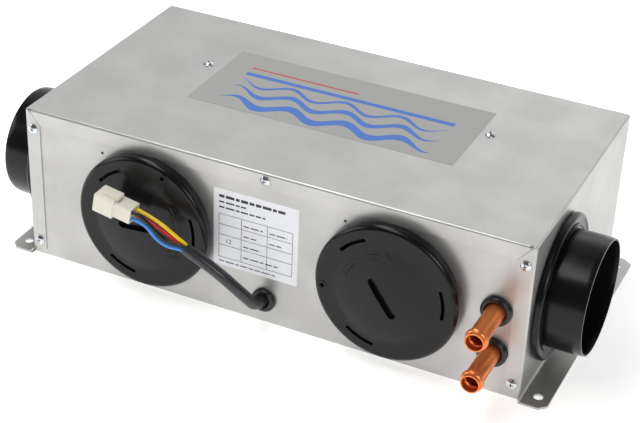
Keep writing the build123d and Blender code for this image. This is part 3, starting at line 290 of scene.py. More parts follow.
# bright zinc gives small sharp sparkles with a bluish cast
zinc = new_material("bright_zinc_plate")
place = add_node(zinc, "TexCoord").outputs["Object"]
inputs = {"Vector": place, "Scale": 1 / (ZINC_CLOUD_MM * MM), "Detail": 4.0}
cloud = add_node(zinc, "TexNoise", inputs)
inputs = {0: cloud.outputs["Fac"], 6: linear(ZINC), 7: linear(ZINC_SHADE)}
tone = add_node(zinc, "Mix", inputs, data_type="RGBA")
inputs = {0: cloud.outputs["Fac"], 1: ZINC_ROUGHER, 2: ZINC_ROUGHNESS}
gloss = add_node(zinc, "Math", inputs, operation="MULTIPLY_ADD")
inputs = {"Base Color": tone.outputs[2], "Roughness": gloss.outputs["Value"], "Metallic": 1.0}
surface = add_node(zinc, "BsdfPrincipled", inputs)
add_node(zinc, "OutputMaterial", {"Surface": surface.outputs["BSDF"]})

# the cross recess is painted dark grey as painted shade, and is rougher than the head
recess_shade_zinc = new_material("zinc_with_painted_recess_shade")
place = add_node(recess_shade_zinc, "TexCoord").outputs["Object"]
cloud = add_node(recess_shade_zinc, "TexNoise", {"Vector": place, "Scale": 1 / (RECESS_GRAIN_MM * MM)})
inputs = {0: cloud.outputs["Fac"], 6: linear(RECESS_SHADE_DARK), 7: linear(RECESS_SHADE_GREY)}
tone = add_node(recess_shade_zinc, "Mix", inputs, data_type="RGBA")
inputs = {"Base Color": tone.outputs[2], "Roughness": RECESS_ROUGHNESS, "Metallic": 1.0}
surface = add_node(recess_shade_zinc, "BsdfPrincipled", inputs)
add_node(recess_shade_zinc, "OutputMaterial", {"Surface": surface.outputs["BSDF"]})


def new_piece(name, mesh, material, body):
    """Puts a mesh in the scene as a piece that rides on a body."""
    piece = bpy.data.objects.new(name, mesh)
    mesh.materials.append(material)
    bpy.context.scene.collection.objects.link(piece)
    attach(piece, body)
    return piece


def turned(shape, outline, turns=32):
    """Adds a solid turned about Z to a bmesh, from (radius, height) points on the axis's side."""
    rings = []
    for radius, height in outline:
        if radius < 1e-9:
            rings.append([shape.verts.new((0, 0, height))])
            continue
        ring = []
        for n in range(turns):
            a = 2 * math.pi * n / turns
            ring.append(shape.verts.new((radius * math.cos(a), radius * math.sin(a), height)))
        rings.append(ring)
    for low, high in zip(rings, rings[1:]):
        for n in range(turns):
            m = (n + 1) % turns
            if len(low) == 1:
                shape.faces.new((low[0], high[m], high[n]))
            elif len(high) == 1:
                shape.faces.new((low[n], low[m], high[0]))
            else:
                shape.faces.new((low[n], low[m], high[m], high[n]))


def cross_recess(turn):
    """Tapered four-armed plug that is cut out of a screw head."""
    shape = bmesh.new()
    arm, tip = RECESS_ARM / 2, RECESS_REACH
    corners = []
    for quarter in range(4):
        c, s = math.cos(quarter * math.pi / 2 + turn), math.sin(quarter * math.pi / 2 + turn)
        for x, y in ((arm, -arm), (tip, -arm), (tip, arm)):
            corners.append((x * c - y * s, x * s + y * c))
    top = HEAD_HEIGHT + RECESS_OVER
    bottom = HEAD_HEIGHT - RECESS_DEPTH
    inner, outer = RECESS_TAPER
    low = [shape.verts.new((inner * x, inner * y, bottom)) for x, y in corners]
    high = [shape.verts.new((outer * x, outer * y, top)) for x, y in corners]
    count = len(corners)
    for n in range(count):
        m = (n + 1) % count
        shape.faces.new((low[n], low[m], high[m], high[n]))
    shape.faces.new(list(reversed(low)))
    shape.faces.new(high)
    mesh = bpy.data.meshes.new("recess")
    shape.to_mesh(mesh)
    shape.free()
    return mesh


def screw_mesh(turn):
    """One screw with its head above Z = 0, its recess cut by a boolean and painted dark as shade.
    """
    outer_taper = RECESS_TAPER[1]
    shape = bmesh.new()
    sphere_r = (HEAD_R**2 + (HEAD_HEIGHT - HEAD_RIM) ** 2) / (2 * (HEAD_HEIGHT - HEAD_RIM))
    outline = [(0, -SHANK_LENGTH), (POINT_R, -SHANK_LENGTH), (SHANK_R, SHANK_R - SHANK_LENGTH)]
    outline += [(SHANK_R, 0), (HEAD_R, 0), (HEAD_R, HEAD_RIM)]
    for step in range(1, DOME_STEPS + 1):
        radius = HEAD_R * (1 - step / DOME_STEPS)
        rise = math.sqrt(sphere_r**2 - radius**2) - sphere_r + HEAD_HEIGHT
        outline.append((radius, rise))
    turned(shape, outline)
    mesh = bpy.data.meshes.new("screw")
    shape.to_mesh(mesh)
    shape.free()
    body = bpy.data.objects.new("screw_blank", mesh)
    cutter = bpy.data.objects.new("recess_blank", cross_recess(turn))
    for blank in (body, cutter):
        bpy.context.scene.collection.objects.link(blank)
    cut = body.modifiers.new("recess", "BOOLEAN")
    cut.operation = "DIFFERENCE"
    cut.object = cutter
    cut.solver = "EXACT"
    bpy.context.view_layer.update()
    finished_body = body.evaluated_get(bpy.context.evaluated_depsgraph_get())
    done = bpy.data.meshes.new_from_object(finished_body)
    for blank in (body, cutter):
        bpy.data.objects.remove(blank)
    # faces sunk into the recess take the second material, a painted shade
    for face in done.polygons:
        middle = face.center
        off_axis = math.hypot(middle.x, middle.y)
        dome = math.sqrt(max(sphere_r**2 - off_axis**2, 0)) - sphere_r + HEAD_HEIGHT
        sunk = dome - middle.z > RECESS_SUNK and middle.z > RECESS_FLOOR
        if sunk and off_axis < RECESS_REACH * outer_taper:
            face.material_index = 1
    return done


def joined(meshes):
    """One mesh of several (mesh, placing matrix) pairs."""
    shape = bmesh.new()
    for mesh, placing in meshes:
        copy = mesh.copy()
        copy.transform(placing)
        shape.from_mesh(copy)
        bpy.data.meshes.remove(copy)
    whole = bpy.data.meshes.new("joined")
    shape.to_mesh(whole)
    shape.free()
    return whole


def facing(place, outward):
    """Placing matrix whose Z leaves the casing at a place."""
    return Matrix.Translation(place) @ Vector(outward).to_track_quat("Z", "Y").to_matrix().to_4x4()


screws_low, screws_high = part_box("casing_screws")
deck_low, deck_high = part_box("deck_screws")
FRONT_Y = screws_low.y + HEAD_HEIGHT
REAR_Y = screws_high.y - HEAD_HEIGHT
LID_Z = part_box("cover")[1].z
SIDE_SCREW_X = screws_high.x - CAD_HEAD_R
TOP_SCREW_Z = screws_high.z - CAD_HEAD_R
LOW_SCREW_Z = screws_low.z + CAD_HEAD_R
HIGH_SCREW_Z = TOP_SCREW_Z - BELOW_TOP_SCREW
DECK_SCREW_X = deck_high.x - CAD_HEAD_R
DECK_SCREW_Y = (deck_low.y + deck_high.y) / 2

screw_places = [(0, TOP_SCREW_Z)]
for side in (-1, 1):
    screw_places += [(side * SIDE_SCREW_X, LOW_SCREW_Z), (side * SIDE_SCREW_X, HIGH_SCREW_Z)]
screws = []
for index, (x, z) in enumerate(screw_places):
    front_turn = FRONT_TURNS[0] + FRONT_TURNS[1] * index
    rear_turn = REAR_TURNS[0] + REAR_TURNS[1] * index
    screws.append((screw_mesh(front_turn), facing((x, FRONT_Y, z), (0, -1, 0))))
    screws.append((screw_mesh(rear_turn), facing((x, REAR_Y, z), (0, 1, 0))))
casing_screws = new_piece("pan_head_screws", joined(screws), zinc, "casing")
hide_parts("casing_screws")

lid_screws = []
for index, side in enumerate((-1, 1)):
    lid_turn = LID_TURNS[0] + LID_TURNS[1] * index
    on_lid = facing((side * DECK_SCREW_X, DECK_SCREW_Y, LID_Z), (0, 0, 1))
    lid_screws.append((screw_mesh(lid_turn), on_lid))
deck_screws = new_piece("lid_screws", joined(lid_screws), zinc, "casing")
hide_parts("deck_screws")
# the screws' second material is the painted shade in their recesses
for piece in (casing_screws, deck_screws):
    piece.data.materials.append(recess_shade_zinc)
    piece.modifiers.new("smooth", "NODES").node_group = SMOOTH

# Rating plate
# Self-adhesive aluminium foil on the lid, matt grey with blue and red printing that stands
# 0.03 mm proud. The print is a plain pattern of waves for warm air under two rules.
PLATE_LEFT = -121 * MM
PLATE_RIGHT = 127 * MM
PLATE_FRONT = -34 * MM
PLATE_BACK = 70 * MM
PLATE_THICK = 0.12 * MM
INK_THICK = 0.03 * MM
PLATE_CORNER = 1.0 * MM
CORNER_STEPS = 4
WAVE_LENGTH = 52 * MM
WAVE_RISE = 6.5 * MM
WAVE_MARGIN = 24 * MM
# height of each wave above the plate's front edge, its thickness, and its phase in radians
BLUE_WAVES = [(16 * MM, 10 * MM, 0.0), (35 * MM, 7 * MM, 0.9), (51 * MM, 4.5 * MM, 1.8)]
# height above the plate's front edge, and thickness
BLUE_RULE = (66 * MM, 5.5 * MM)
RED_RULE = (78 * MM, 2.2 * MM)
WAVE_STEPS = 72
# a wave narrows over a sixth of its length at each end, to 0.04 of its thickness
WAVE_TAPER = 6.0
WAVE_POINT = 0.04
RED_RULE_SHORTER = 95 * MM
FOIL = "#b9b9b6"
FOIL_SHADE = "#acaca9"
FOIL_BRUSH_MM = (60.0, 0.6, 0.6)
FOIL_BRUSH_DEPTH = 0.003 * MM
FOIL_ROUGHNESS = 0.44
FOIL_ROUGHER = 0.1
FOIL_METAL = 0.6
# tones of an ink where it lies thick and where it lies thin
PRINT_INKS = {"blue": ("#4a7fd6", "#4276cf"), "red": ("#d24a48", "#c84240")}
INK_CLOUD_MM = 2.0
INK_ROUGHNESS = 0.4
INK_ROUGHER = 0.1


def ribbon(shape, line, thickness, base):
    """Flat strip in a bmesh, given its two long edges as lists of (x, y) points."""
    low, high = line
    rows = []
    for z in (base, base + thickness):
        rows.append([[shape.verts.new((x, y, z)) for x, y in edge] for edge in (low, high)])
    (low_a, low_b), (top_a, top_b) = rows
    last = len(low) - 1
    for n in range(last):
        shape.faces.new((top_a[n], top_a[n + 1], top_b[n + 1], top_b[n]))
        shape.faces.new((low_a[n], low_b[n], low_b[n + 1], low_a[n + 1]))
        shape.faces.new((low_a[n], low_a[n + 1], top_a[n + 1], top_a[n]))
        shape.faces.new((low_b[n + 1], low_b[n], top_b[n], top_b[n + 1]))
    shape.faces.new((low_a[0], top_a[0], top_b[0], low_b[0]))
    shape.faces.new((low_a[last], low_b[last], top_b[last], top_a[last]))


def finished(shape, name):
    """Mesh of a bmesh, with its faces turned outwards."""
    mesh = bpy.data.meshes.new(name)
    bmesh.ops.recalc_face_normals(shape, faces=shape.faces)
    shape.to_mesh(mesh)
    shape.free()
    return mesh


def sticker(name, left, right, low, high, thickness, corner):
    """Thin plate with rounded corners, its underside at Z = 0."""
    shape = bmesh.new()
    outline = []
    for cx, cy, start in (
        (right - corner, high - corner, 0),
        (left + corner, high - corner, 90),
        (left + corner, low + corner, 180),
        (right - corner, low + corner, 270),
    ):
        for step in range(CORNER_STEPS + 1):
            a = math.radians(start + 90 * step / CORNER_STEPS)
            outline.append((cx + corner * math.cos(a), cy + corner * math.sin(a)))
    bottom = [shape.verts.new((x, y, 0)) for x, y in outline]
    top = [shape.verts.new((x, y, thickness)) for x, y in outline]
    shape.faces.new(top)
    shape.faces.new(list(reversed(bottom)))
    for n in range(len(outline)):
        m = (n + 1) % len(outline)
        shape.faces.new((bottom[n], bottom[m], top[m], top[n]))
    return finished(shape, name)


def wave_edges(height, width, phase):
    """Lower and upper edge of one wave, tapering to a point at each end."""
    start, end = PLATE_LEFT + WAVE_MARGIN, PLATE_RIGHT - WAVE_MARGIN
    low, high = [], []
    for n in range(WAVE_STEPS + 1):
        t = n / WAVE_STEPS
        x = start + t * (end - start)
        turn = phase + 2 * math.pi * (x - start) / WAVE_LENGTH
        middle = PLATE_FRONT + height + WAVE_RISE * math.sin(turn)
        half = width / 2 * min(1, WAVE_TAPER * min(t, 1 - t) + WAVE_POINT)
        low.append((x, middle - half))
        high.append((x, middle + half))
    return low, high


def rule_edges(left, right, height, width):
    """Lower and upper edge of a straight printed line."""
    return [(left, height - width / 2), (right, height - width / 2)], [
        (left, height + width / 2),
        (right, height + width / 2),
    ]


# matt foil is an even grey with a faint sheen along its brushing, which is 0.2 mm apart: too
# fine to show, so it is drawn 0.6 mm apart
foil = new_material("matt_aluminium_foil")
place = add_node(foil, "TexCoord").outputs["Object"]
along = [1 / (size * MM) for size in FOIL_BRUSH_MM]
brushed = add_node(foil, "Mapping", {"Vector": place, "Scale": along})
brush = add_node(foil, "TexNoise", {"Vector": brushed.outputs["Vector"], "Scale": 1.0})
inputs = {0: brush.outputs["Fac"], 6: linear(FOIL), 7: linear(FOIL_SHADE)}
tone = add_node(foil, "Mix", inputs, data_type="RGBA")
inputs = {0: brush.outputs["Fac"], 1: FOIL_ROUGHER, 2: FOIL_ROUGHNESS}
gloss = add_node(foil, "Math", inputs, operation="MULTIPLY_ADD")
bump = add_node(foil, "Bump", {"Height": brush.outputs["Fac"], "Distance": FOIL_BRUSH_DEPTH})
inputs = {"Base Color": tone.outputs[2], "Roughness": gloss.outputs["Value"]}
inputs |= {"Metallic": FOIL_METAL, "Normal": bump.outputs["Normal"]}
surface = add_node(foil, "BsdfPrincipled", inputs)
add_node(foil, "OutputMaterial", {"Surface": surface.outputs["BSDF"]})

# screen-printed ink lies a little unevenly, with a satin sheen
print_inks = {}
for ink_name, (thick_ink, thin_ink) in PRINT_INKS.items():
    ink = new_material(f"screen_printed_{ink_name}")
    place = add_node(ink, "TexCoord").outputs["Object"]
    inputs = {"Vector": place, "Scale": 1 / (INK_CLOUD_MM * MM), "Detail": 4.0}
    lay = add_node(ink, "TexNoise", inputs)
    inputs = {0: lay.outputs["Fac"], 6: linear(thick_ink), 7: linear(thin_ink)}
    tone = add_node(ink, "Mix", inputs, data_type="RGBA")
    inputs = {0: lay.outputs["Fac"], 1: INK_ROUGHER, 2: INK_ROUGHNESS}
    gloss = add_node(ink, "Math", inputs, operation="MULTIPLY_ADD")
    inputs = {"Base Color": tone.outputs[2], "Roughness": gloss.outputs["Value"], "IOR": 1.5}
    surface = add_node(ink, "BsdfPrincipled", inputs)
    add_node(ink, "OutputMaterial", {"Surface": surface.outputs["BSDF"]})
    print_inks[ink_name] = ink

plate_mesh = sticker(
    "plate", PLATE_LEFT, PLATE_RIGHT, PLATE_FRONT, PLATE_BACK, PLATE_THICK, PLATE_CORNER
)
plate = new_piece("rating_plate", plate_mesh, foil, "casing")
plate.location.z = LID_Z

waves = bmesh.new()
for height, width, phase in BLUE_WAVES:
    ribbon(waves, wave_edges(height, width, phase), INK_THICK, PLATE_THICK)
rule_left, rule_right = PLATE_LEFT + WAVE_MARGIN, PLATE_RIGHT - WAVE_MARGIN
blue_rule = rule_edges(rule_left, rule_right, PLATE_FRONT + BLUE_RULE[0], BLUE_RULE[1])
ribbon(waves, blue_rule, INK_THICK, PLATE_THICK)
blue_mesh = finished(waves, "waves")
blue_print = new_piece("plate_blue_print", blue_mesh, print_inks["blue"], "casing")
blue_print.location.z = LID_Z

red_lines = bmesh.new()
red_right = rule_right - RED_RULE_SHORTER
red_rule = rule_edges(rule_left, red_right, PLATE_FRONT + RED_RULE[0], RED_RULE[1])
ribbon(red_lines, red_rule, INK_THICK, PLATE_THICK)
red_mesh = finished(red_lines, "rules")
red_print = new_piece("plate_red_print", red_mesh, print_inks["red"], "casing")
red_print.location.z = LID_Z

# Data label
# White polyester sticker on the front wall, printed in dark grey: a ruled table, dashed bars
# above, below and in it, and the supply voltage as plain digits.
LABEL_LEFT = -47.5 * MM
LABEL_RIGHT = 30.7 * MM
LABEL_LOW = 45.5 * MM
LABEL_HIGH = 119.3 * MM
LABEL_THICK = 0.1 * MM
LABEL_CORNER = 0.8 * MM
SHEET = 1.0 * MM
PANEL_FACE = FRONT_Y + SHEET
RULE_WIDTH = 0.45 * MM
# heights of the table's rules and places of its columns, in mm from the label's lower left
TABLE_ROWS = [8, 20, 30, 40, 50]
TABLE_COLUMNS = [5, 26, 50, 73.2]
# height, left end, right end and thickness of each bar in mm
BAR_ROWS = [(56.5, 5, 48, 1.5), (61.5, 5, 30, 1.5), (67.0, 5, 66, 2.6), (4.0, 5, 58, 1.0)]
# height, left end and right end of each bar in a cell in mm
CELL_BARS = [(23.6, 28, 44), (33.6, 28, 40), (43.6, 28, 46)]
CELL_BARS += [(43.6, 52, 68), (33.6, 52, 63), (13, 28, 60)]
CELL_BAR_WIDTH = 1.1
WORD_LENGTHS = (5.0, 8.0, 3.5, 6.5, 4.5)
WORD_GAP = 1.3
DIGITS = "12"
DIGIT_SIZE = 6.0 * MM
DIGIT_PLACE = (11 * MM, 22.5 * MM)
FILM = "#fcfdff"
FILM_SHADE = "#f5f7fd"
FILM_CLOUD_MM = 14.0
FILM_ROUGHNESS = 0.33
FILM_ROUGHER = 0.1
PRINT_GREY = "#1f2125"
PRINT_GREY_THIN = "#34373b"
PRINT_CELL_MM = 0.7
PRINT_ROUGHNESS = 0.5


def words(left, right):
    """Splits a printed bar into dashes as long as words."""
    dashes = []
    while left < right:
        length = WORD_LENGTHS[len(dashes) % len(WORD_LENGTHS)]
        dashes.append((left, min(left + length, right)))
        left += length + WORD_GAP
    return dashes


# smooth film is the whitest thing on the object, with a bluish cast
polyester = new_material("white_polyester_film")
place = add_node(polyester, "TexCoord").outputs["Object"]
inputs = {"Vector": place, "Scale": 1 / (FILM_CLOUD_MM * MM), "Detail": 3.0}
film = add_node(polyester, "TexNoise", inputs)
inputs = {0: film.outputs["Fac"], 6: linear(FILM), 7: linear(FILM_SHADE)}
tone = add_node(polyester, "Mix", inputs, data_type="RGBA")
inputs = {0: film.outputs["Fac"], 1: FILM_ROUGHER, 2: FILM_ROUGHNESS}
gloss = add_node(polyester, "Math", inputs, operation="MULTIPLY_ADD")
inputs = {"Base Color": tone.outputs[2], "Roughness": gloss.outputs["Value"], "IOR": 1.57}
surface = add_node(polyester, "BsdfPrincipled", inputs)
add_node(polyester, "OutputMaterial", {"Surface": surface.outputs["BSDF"]})

# thermal print 0.1 mm in grain is drawn with 0.7 mm cells, the finest that still shows
grey_ink = new_material("thermal_printed_grey")
place = add_node(grey_ink, "TexCoord").outputs["Object"]
lay = add_node(grey_ink, "TexNoise", {"Vector": place, "Scale": 1 / (PRINT_CELL_MM * MM)})
inputs = {0: lay.outputs["Fac"], 6: linear(PRINT_GREY), 7: linear(PRINT_GREY_THIN)}
tone = add_node(grey_ink, "Mix", inputs, data_type="RGBA")
inputs = {"Base Color": tone.outputs[2], "Roughness": PRINT_ROUGHNESS}
surface = add_node(grey_ink, "BsdfPrincipled", inputs)
add_node(grey_ink, "OutputMaterial", {"Surface": surface.outputs["BSDF"]})

label_width = LABEL_RIGHT - LABEL_LEFT
label_height = LABEL_HIGH - LABEL_LOW
label_mesh = sticker("label", 0, label_width, 0, label_height, LABEL_THICK, LABEL_CORNER)
upright = Matrix.Rotation(math.pi / 2, 4, "X")
label_place = Matrix.Translation((LABEL_LEFT, PANEL_FACE, LABEL_LOW)) @ upright
label = new_piece("data_label", label_mesh, polyester, "casing")
label.matrix_world = label_place

table = bmesh.new()
for height in TABLE_ROWS:
    edges = rule_edges(TABLE_COLUMNS[0] * MM, TABLE_COLUMNS[-1] * MM, height * MM, RULE_WIDTH)
    ribbon(table, edges, INK_THICK, LABEL_THICK)
for across_mm in TABLE_COLUMNS:
    x = across_mm * MM
    left, right = x - RULE_WIDTH / 2, x + RULE_WIDTH / 2
    middle = (TABLE_ROWS[0] + TABLE_ROWS[-1]) / 2 * MM
    edges = rule_edges(left, right, middle, (TABLE_ROWS[-1] - TABLE_ROWS[0]) * MM + RULE_WIDTH)
    ribbon(table, edges, INK_THICK, LABEL_THICK)
bars = BAR_ROWS + [(*cell, CELL_BAR_WIDTH) for cell in CELL_BARS]
for height, first, last, width in bars:
    for left, right in words(first, last):
        edges = rule_edges(left * MM, right * MM, height * MM, width * MM)
        ribbon(table, edges, INK_THICK, LABEL_THICK)
print_mesh = finished(table, "table")

digits = bpy.data.curves.new("digits", "FONT")
digits.body = DIGITS
digits.size = DIGIT_SIZE
digits.extrude = INK_THICK / 2
digit_holder = bpy.data.objects.new("digits", digits)
digit_mesh = bpy.data.meshes.new_from_object(digit_holder)
bpy.data.objects.remove(digit_holder)
digit_place = Matrix.Translation((*DIGIT_PLACE, LABEL_THICK + INK_THICK / 2))
label_print = new_piece(
    "label_print",
    joined([(print_mesh, Matrix()), (digit_mesh, digit_place)]),
    grey_ink,
    "casing",
)
label_print.matrix_world = label_place

# Caps and collars
# Injection-moulded nylon, black with a soft gloss and a trace of dust, held in the ports by
# three bayonet lugs each. The face keeps the fine waviness that moulding leaves.
MOULDED_BLACK = "#101112"
MOULDED_DUSTY = "#17191b"
MOULD_WAVE_MM = 9.0
MOULD_WAVE_DEPTH = 0.0015 * MM
DUST_MM = 1.2
DUST_RANGE = (0.55, 0.8)
MOULDED_ROUGHNESS = 0.2
MOULDED_ROUGHER = 0.06
MOULDED_SHINE = 0.28

# black nylon stays deep black on its flats and shines along its rims
moulded = new_material("moulded_black_nylon")
place = add_node(moulded, "TexCoord").outputs["Object"]
wave = add_node(moulded, "TexNoise", {"Vector": place, "Scale": 1 / (MOULD_WAVE_MM * MM)})
inputs = {"Vector": place, "Scale": 1 / (DUST_MM * MM), "Detail": 6.0, "Roughness": 0.7}
dust = add_node(moulded, "TexNoise", inputs)
from_min, from_max = DUST_RANGE
inputs = {"Value": dust.outputs["Fac"], "From Min": from_min, "From Max": from_max}
dusty = add_node(moulded, "MapRange", inputs)
inputs = {0: dusty.outputs["Result"], 6: linear(MOULDED_BLACK), 7: linear(MOULDED_DUSTY)}
tone = add_node(moulded, "Mix", inputs, data_type="RGBA")
inputs = {0: wave.outputs["Fac"], 1: MOULDED_ROUGHER, 2: MOULDED_ROUGHNESS}
gloss = add_node(moulded, "Math", inputs, operation="MULTIPLY_ADD")
bump = add_node(moulded, "Bump", {"Height": wave.outputs["Fac"], "Distance": MOULD_WAVE_DEPTH})
inputs = {"Base Color": tone.outputs[2], "Roughness": gloss.outputs["Value"], "IOR": 1.53}
inputs |= {"Specular IOR Level": MOULDED_SHINE, "Normal": bump.outputs["Normal"]}
surface = add_node(moulded, "BsdfPrincipled", inputs)
add_node(moulded, "OutputMaterial", {"Surface": surface.outputs["BSDF"]})
finish_nodes(
    moulded, "blanking_cap_left", "blanking_cap_right", "duct_collar_left", "duct_collar_right"
)

# Locking arrows
# A fine raised outline on the dome of each cap, bent round its centre, that shows which way it
# locks. The mould makes it in one with the cap, so it wears the same nylon and rides on it.
DOME_SPHERE_R = 175.5 * MM
ARROW_BEAD_W = 0.7 * MM
ARROW_BEAD_RISE = 0.3 * MM
ARROW_BEAD_SINK = 0.15 * MM
# radii of the shaft's two sides, then of the head's inner corner, tip and outer corner
ARROW_BAND = (34.6 * MM, 38.4 * MM)
ARROW_HEAD = (31.8 * MM, 36.5 * MM, 41.2 * MM)
# degrees from the head's foot to its tip
ARROW_HEAD_TURN = 9.0
# start of the shaft and foot of the head, in degrees, from the right upwards
ARROW_TURNS = {"left": (45, -30), "right": (165, 90)}
ARROW_STEPS = 24


def dome_point(centre, radius, turn):
    """Point on the dome of a cap, at a distance from its centre and a turn in degrees."""
    sag = DOME_SPHERE_R - math.sqrt(DOME_SPHERE_R**2 - radius**2)
    a = math.radians(turn)
    return centre + Vector((radius * math.cos(a), sag, radius * math.sin(a)))


def bead(points, outward):
    """Closed raised line with a three-sided section through points on a surface."""
    shape = bmesh.new()
    rings = []
    count = len(points)
    for n, point in enumerate(points):
        along = (points[(n + 1) % count] - points[n - 1]).normalized()
        across = along.cross(outward).normalized() * ARROW_BEAD_W / 2
        foot = point - outward * ARROW_BEAD_SINK
        top = point + outward * ARROW_BEAD_RISE
        rings.append([shape.verts.new(place) for place in (foot - across, top, foot + across)])
    for n in range(count):
        low, high = rings[n], rings[(n + 1) % count]
        for m in range(3):
            shape.faces.new((low[m], low[(m + 1) % 3], high[(m + 1) % 3], high[m]))
    return finished(shape, "arrow")


for side, (start, end) in ARROW_TURNS.items():
    cap_low, cap_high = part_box(f"blanking_cap_{side}")
    crown = Vector(((cap_low.x + cap_high.x) / 2, cap_low.y, (cap_low.z + cap_high.z) / 2))
    turns = [start + (end - start) * n / ARROW_STEPS for n in range(ARROW_STEPS + 1)]
    line = [dome_point(crown, ARROW_BAND[1], turn) for turn in turns]
    line.append(dome_point(crown, ARROW_HEAD[2], end))
    line.append(dome_point(crown, ARROW_HEAD[1], end - ARROW_HEAD_TURN))
    line.append(dome_point(crown, ARROW_HEAD[0], end))
    line += [dome_point(crown, ARROW_BAND[0], turn) for turn in reversed(turns)]
    mesh = bead(line, Vector((0, -1, 0)))
    new_piece(f"locking_arrow_{side}", mesh, moulded, f"{side}_cap")

# Hose tails
# Drawn copper tube with a rolled bead, wiped but not polished: satin orange, a little darker
# where it was heated for brazing, with drawing lines along the tube.
COPPER = "#ff9c58"
COPPER_TARNISH = "#ea7c42"
DRAWING_LINE_MM = (0.5, 40.0, 0.5)
DRAWING_LINE_DEPTH = 0.002 * MM
HEAT_MARK_MM = 26.0
COPPER_ROUGHNESS = 0.3
COPPER_ROUGHER = 0.06
COPPER_METAL = 0.75

# bare copper gives a wide soft highlight, pale orange on top and brown in the bore
copper = new_material("drawn_copper")
place = add_node(copper, "TexCoord").outputs["Object"]
along = [1 / (size * MM) for size in DRAWING_LINE_MM]
drawing = add_node(copper, "Mapping", {"Vector": place, "Scale": along})
drawn = add_node(copper, "TexNoise", {"Vector": drawing.outputs["Vector"], "Scale": 1.0})
heat = add_node(copper, "TexNoise", {"Vector": place, "Scale": 1 / (HEAT_MARK_MM * MM)})
inputs = {0: heat.outputs["Fac"], 6: linear(COPPER), 7: linear(COPPER_TARNISH)}
tone = add_node(copper, "Mix", inputs, data_type="RGBA")
inputs = {0: drawn.outputs["Fac"], 1: COPPER_ROUGHER, 2: COPPER_ROUGHNESS}
gloss = add_node(copper, "Math", inputs, operation="MULTIPLY_ADD")
bump_inputs = {"Height": drawn.outputs["Fac"], "Distance": DRAWING_LINE_DEPTH}
bump = add_node(copper, "Bump", bump_inputs)
inputs = {"Base Color": tone.outputs[2], "Roughness": gloss.outputs["Value"]}
inputs |= {"Metallic": COPPER_METAL, "Normal": bump.outputs["Normal"]}
surface = add_node(copper, "BsdfPrincipled", inputs)
add_node(copper, "OutputMaterial", {"Surface": surface.outputs["BSDF"]})
finish_nodes(copper, "supply_tail", "return_tail")

# Grommets and seals
# Black rubber rings pressed into the front wall, and foam rubber rings under the caps and
# collars. Fresh rubber is as black as the caps, with a wet-looking highlight on its round.
RUBBER = "#0a0a0b"
RUBBER_BLOOM = "#18191b"
BLOOM_MM = 2.5
BLOOM_DEPTH = 0.008 * MM
RUBBER_ROUGHNESS = 0.24
RUBBER_ROUGHER = 0.12

# black rubber is the darkest surface, broken by a thin bright line along its round
rubber = new_material("black_rubber")
place = add_node(rubber, "TexCoord").outputs["Object"]
bloom = add_node(rubber, "TexNoise", {"Vector": place, "Scale": 1 / (BLOOM_MM * MM), "Detail": 5.0})
inputs = {0: bloom.outputs["Fac"], 6: linear(RUBBER), 7: linear(RUBBER_BLOOM)}
tone = add_node(rubber, "Mix", inputs, data_type="RGBA")
inputs = {0: bloom.outputs["Fac"], 1: RUBBER_ROUGHER, 2: RUBBER_ROUGHNESS}
gloss = add_node(rubber, "Math", inputs, operation="MULTIPLY_ADD")
bump = add_node(rubber, "Bump", {"Height": bloom.outputs["Fac"], "Distance": BLOOM_DEPTH})
inputs = {"Base Color": tone.outputs[2], "Roughness": gloss.outputs["Value"], "IOR": 1.52}
inputs |= {"Normal": bump.outputs["Normal"]}
surface = add_node(rubber, "BsdfPrincipled", inputs)
add_node(rubber, "OutputMaterial", {"Surface": surface.outputs["BSDF"]})
finish_nodes(rubber, "tail_grommets", "harness_grommet", "port_seals")

# Harness
# A black PVC sleeve leaves its grommet and bends up to the left. Four insulated wires come
# out of its end and go into the back of the plug. Nothing rests on the floor: it is short
# and stiff enough to stand by itself.
# points in mm that steer the sleeve's line, from inside its grommet to its end
SLEEVE_ROUTE = [
    (1, -110, 23.5),
    (1, -132, 23.5),
    (-4, -141, 35.5),
    (-12, -149.5, 50),
    (-29, -155.5, 66.5),
    (-52.5, -158, 79.5),
]
SLEEVE_D = 10.5 * MM
WIRE_D = 3.2 * MM
# the same for each wire, from inside the sleeve's end to the plug
WIRE_ROUTES = {
    "yellow": [
        (-44.9, -155.7, 77),
        (-60.5, -156.8, 86.3),
        (-81, -153.9, 95.8),
        (-103.4, -153.8, 101.2),
    ],
    "red": [
        (-46.5, -155.6, 74.1),
        (-58, -156.6, 80.6),
        (-74, -155.3, 87.2),
        (-88.5, -154, 92.5),
        (-104.5, -153.8, 94.9),
    ],
    "black": [
        (-44.6, -158.9, 77),
        (-54, -159.8, 82.2),
        (-68, -160, 81.2),
        (-81, -160, 90),
        (-92, -160.1, 99.2),
        (-103.4, -160.2, 101.2),
    ],
    "blue": [
        (-46.2, -158.9, 74.1),
        (-55, -159.8, 79),
        (-67, -159.9, 77),
        (-78.5, -160, 81.2),
        (-86.5, -160, 90.4),
        (-94, -160.1, 93.6),
        (-104.5, -160.2, 94.9),
    ],
}
# each wire's tone where it is fresh and where it was handled
WIRE_COLOURS = {
    "yellow": ("#ffdf2a", "#fbcf20"),
    "red": ("#ee2f30", "#d6282b"),
    "black": ("#0c0c0d", "#17181a"),
    "blue": ("#479af4", "#418ce2"),
}
CORD_STEPS = 10
CORD_ROUNDNESS = 6
MEASURE_STEPS = 24
SLEEVE_BLACK = "#242528"
SLEEVE_SCUFFED = "#34363a"
SCUFF_MM = 1.6
SCUFF_DEPTH = 0.015 * MM
SLEEVE_ROUGHNESS = 0.25
SLEEVE_ROUGHER = 0.1
GREASE_MM = 1.1
WIRE_ROUGHNESS = 0.26
WIRE_ROUGHER = 0.12


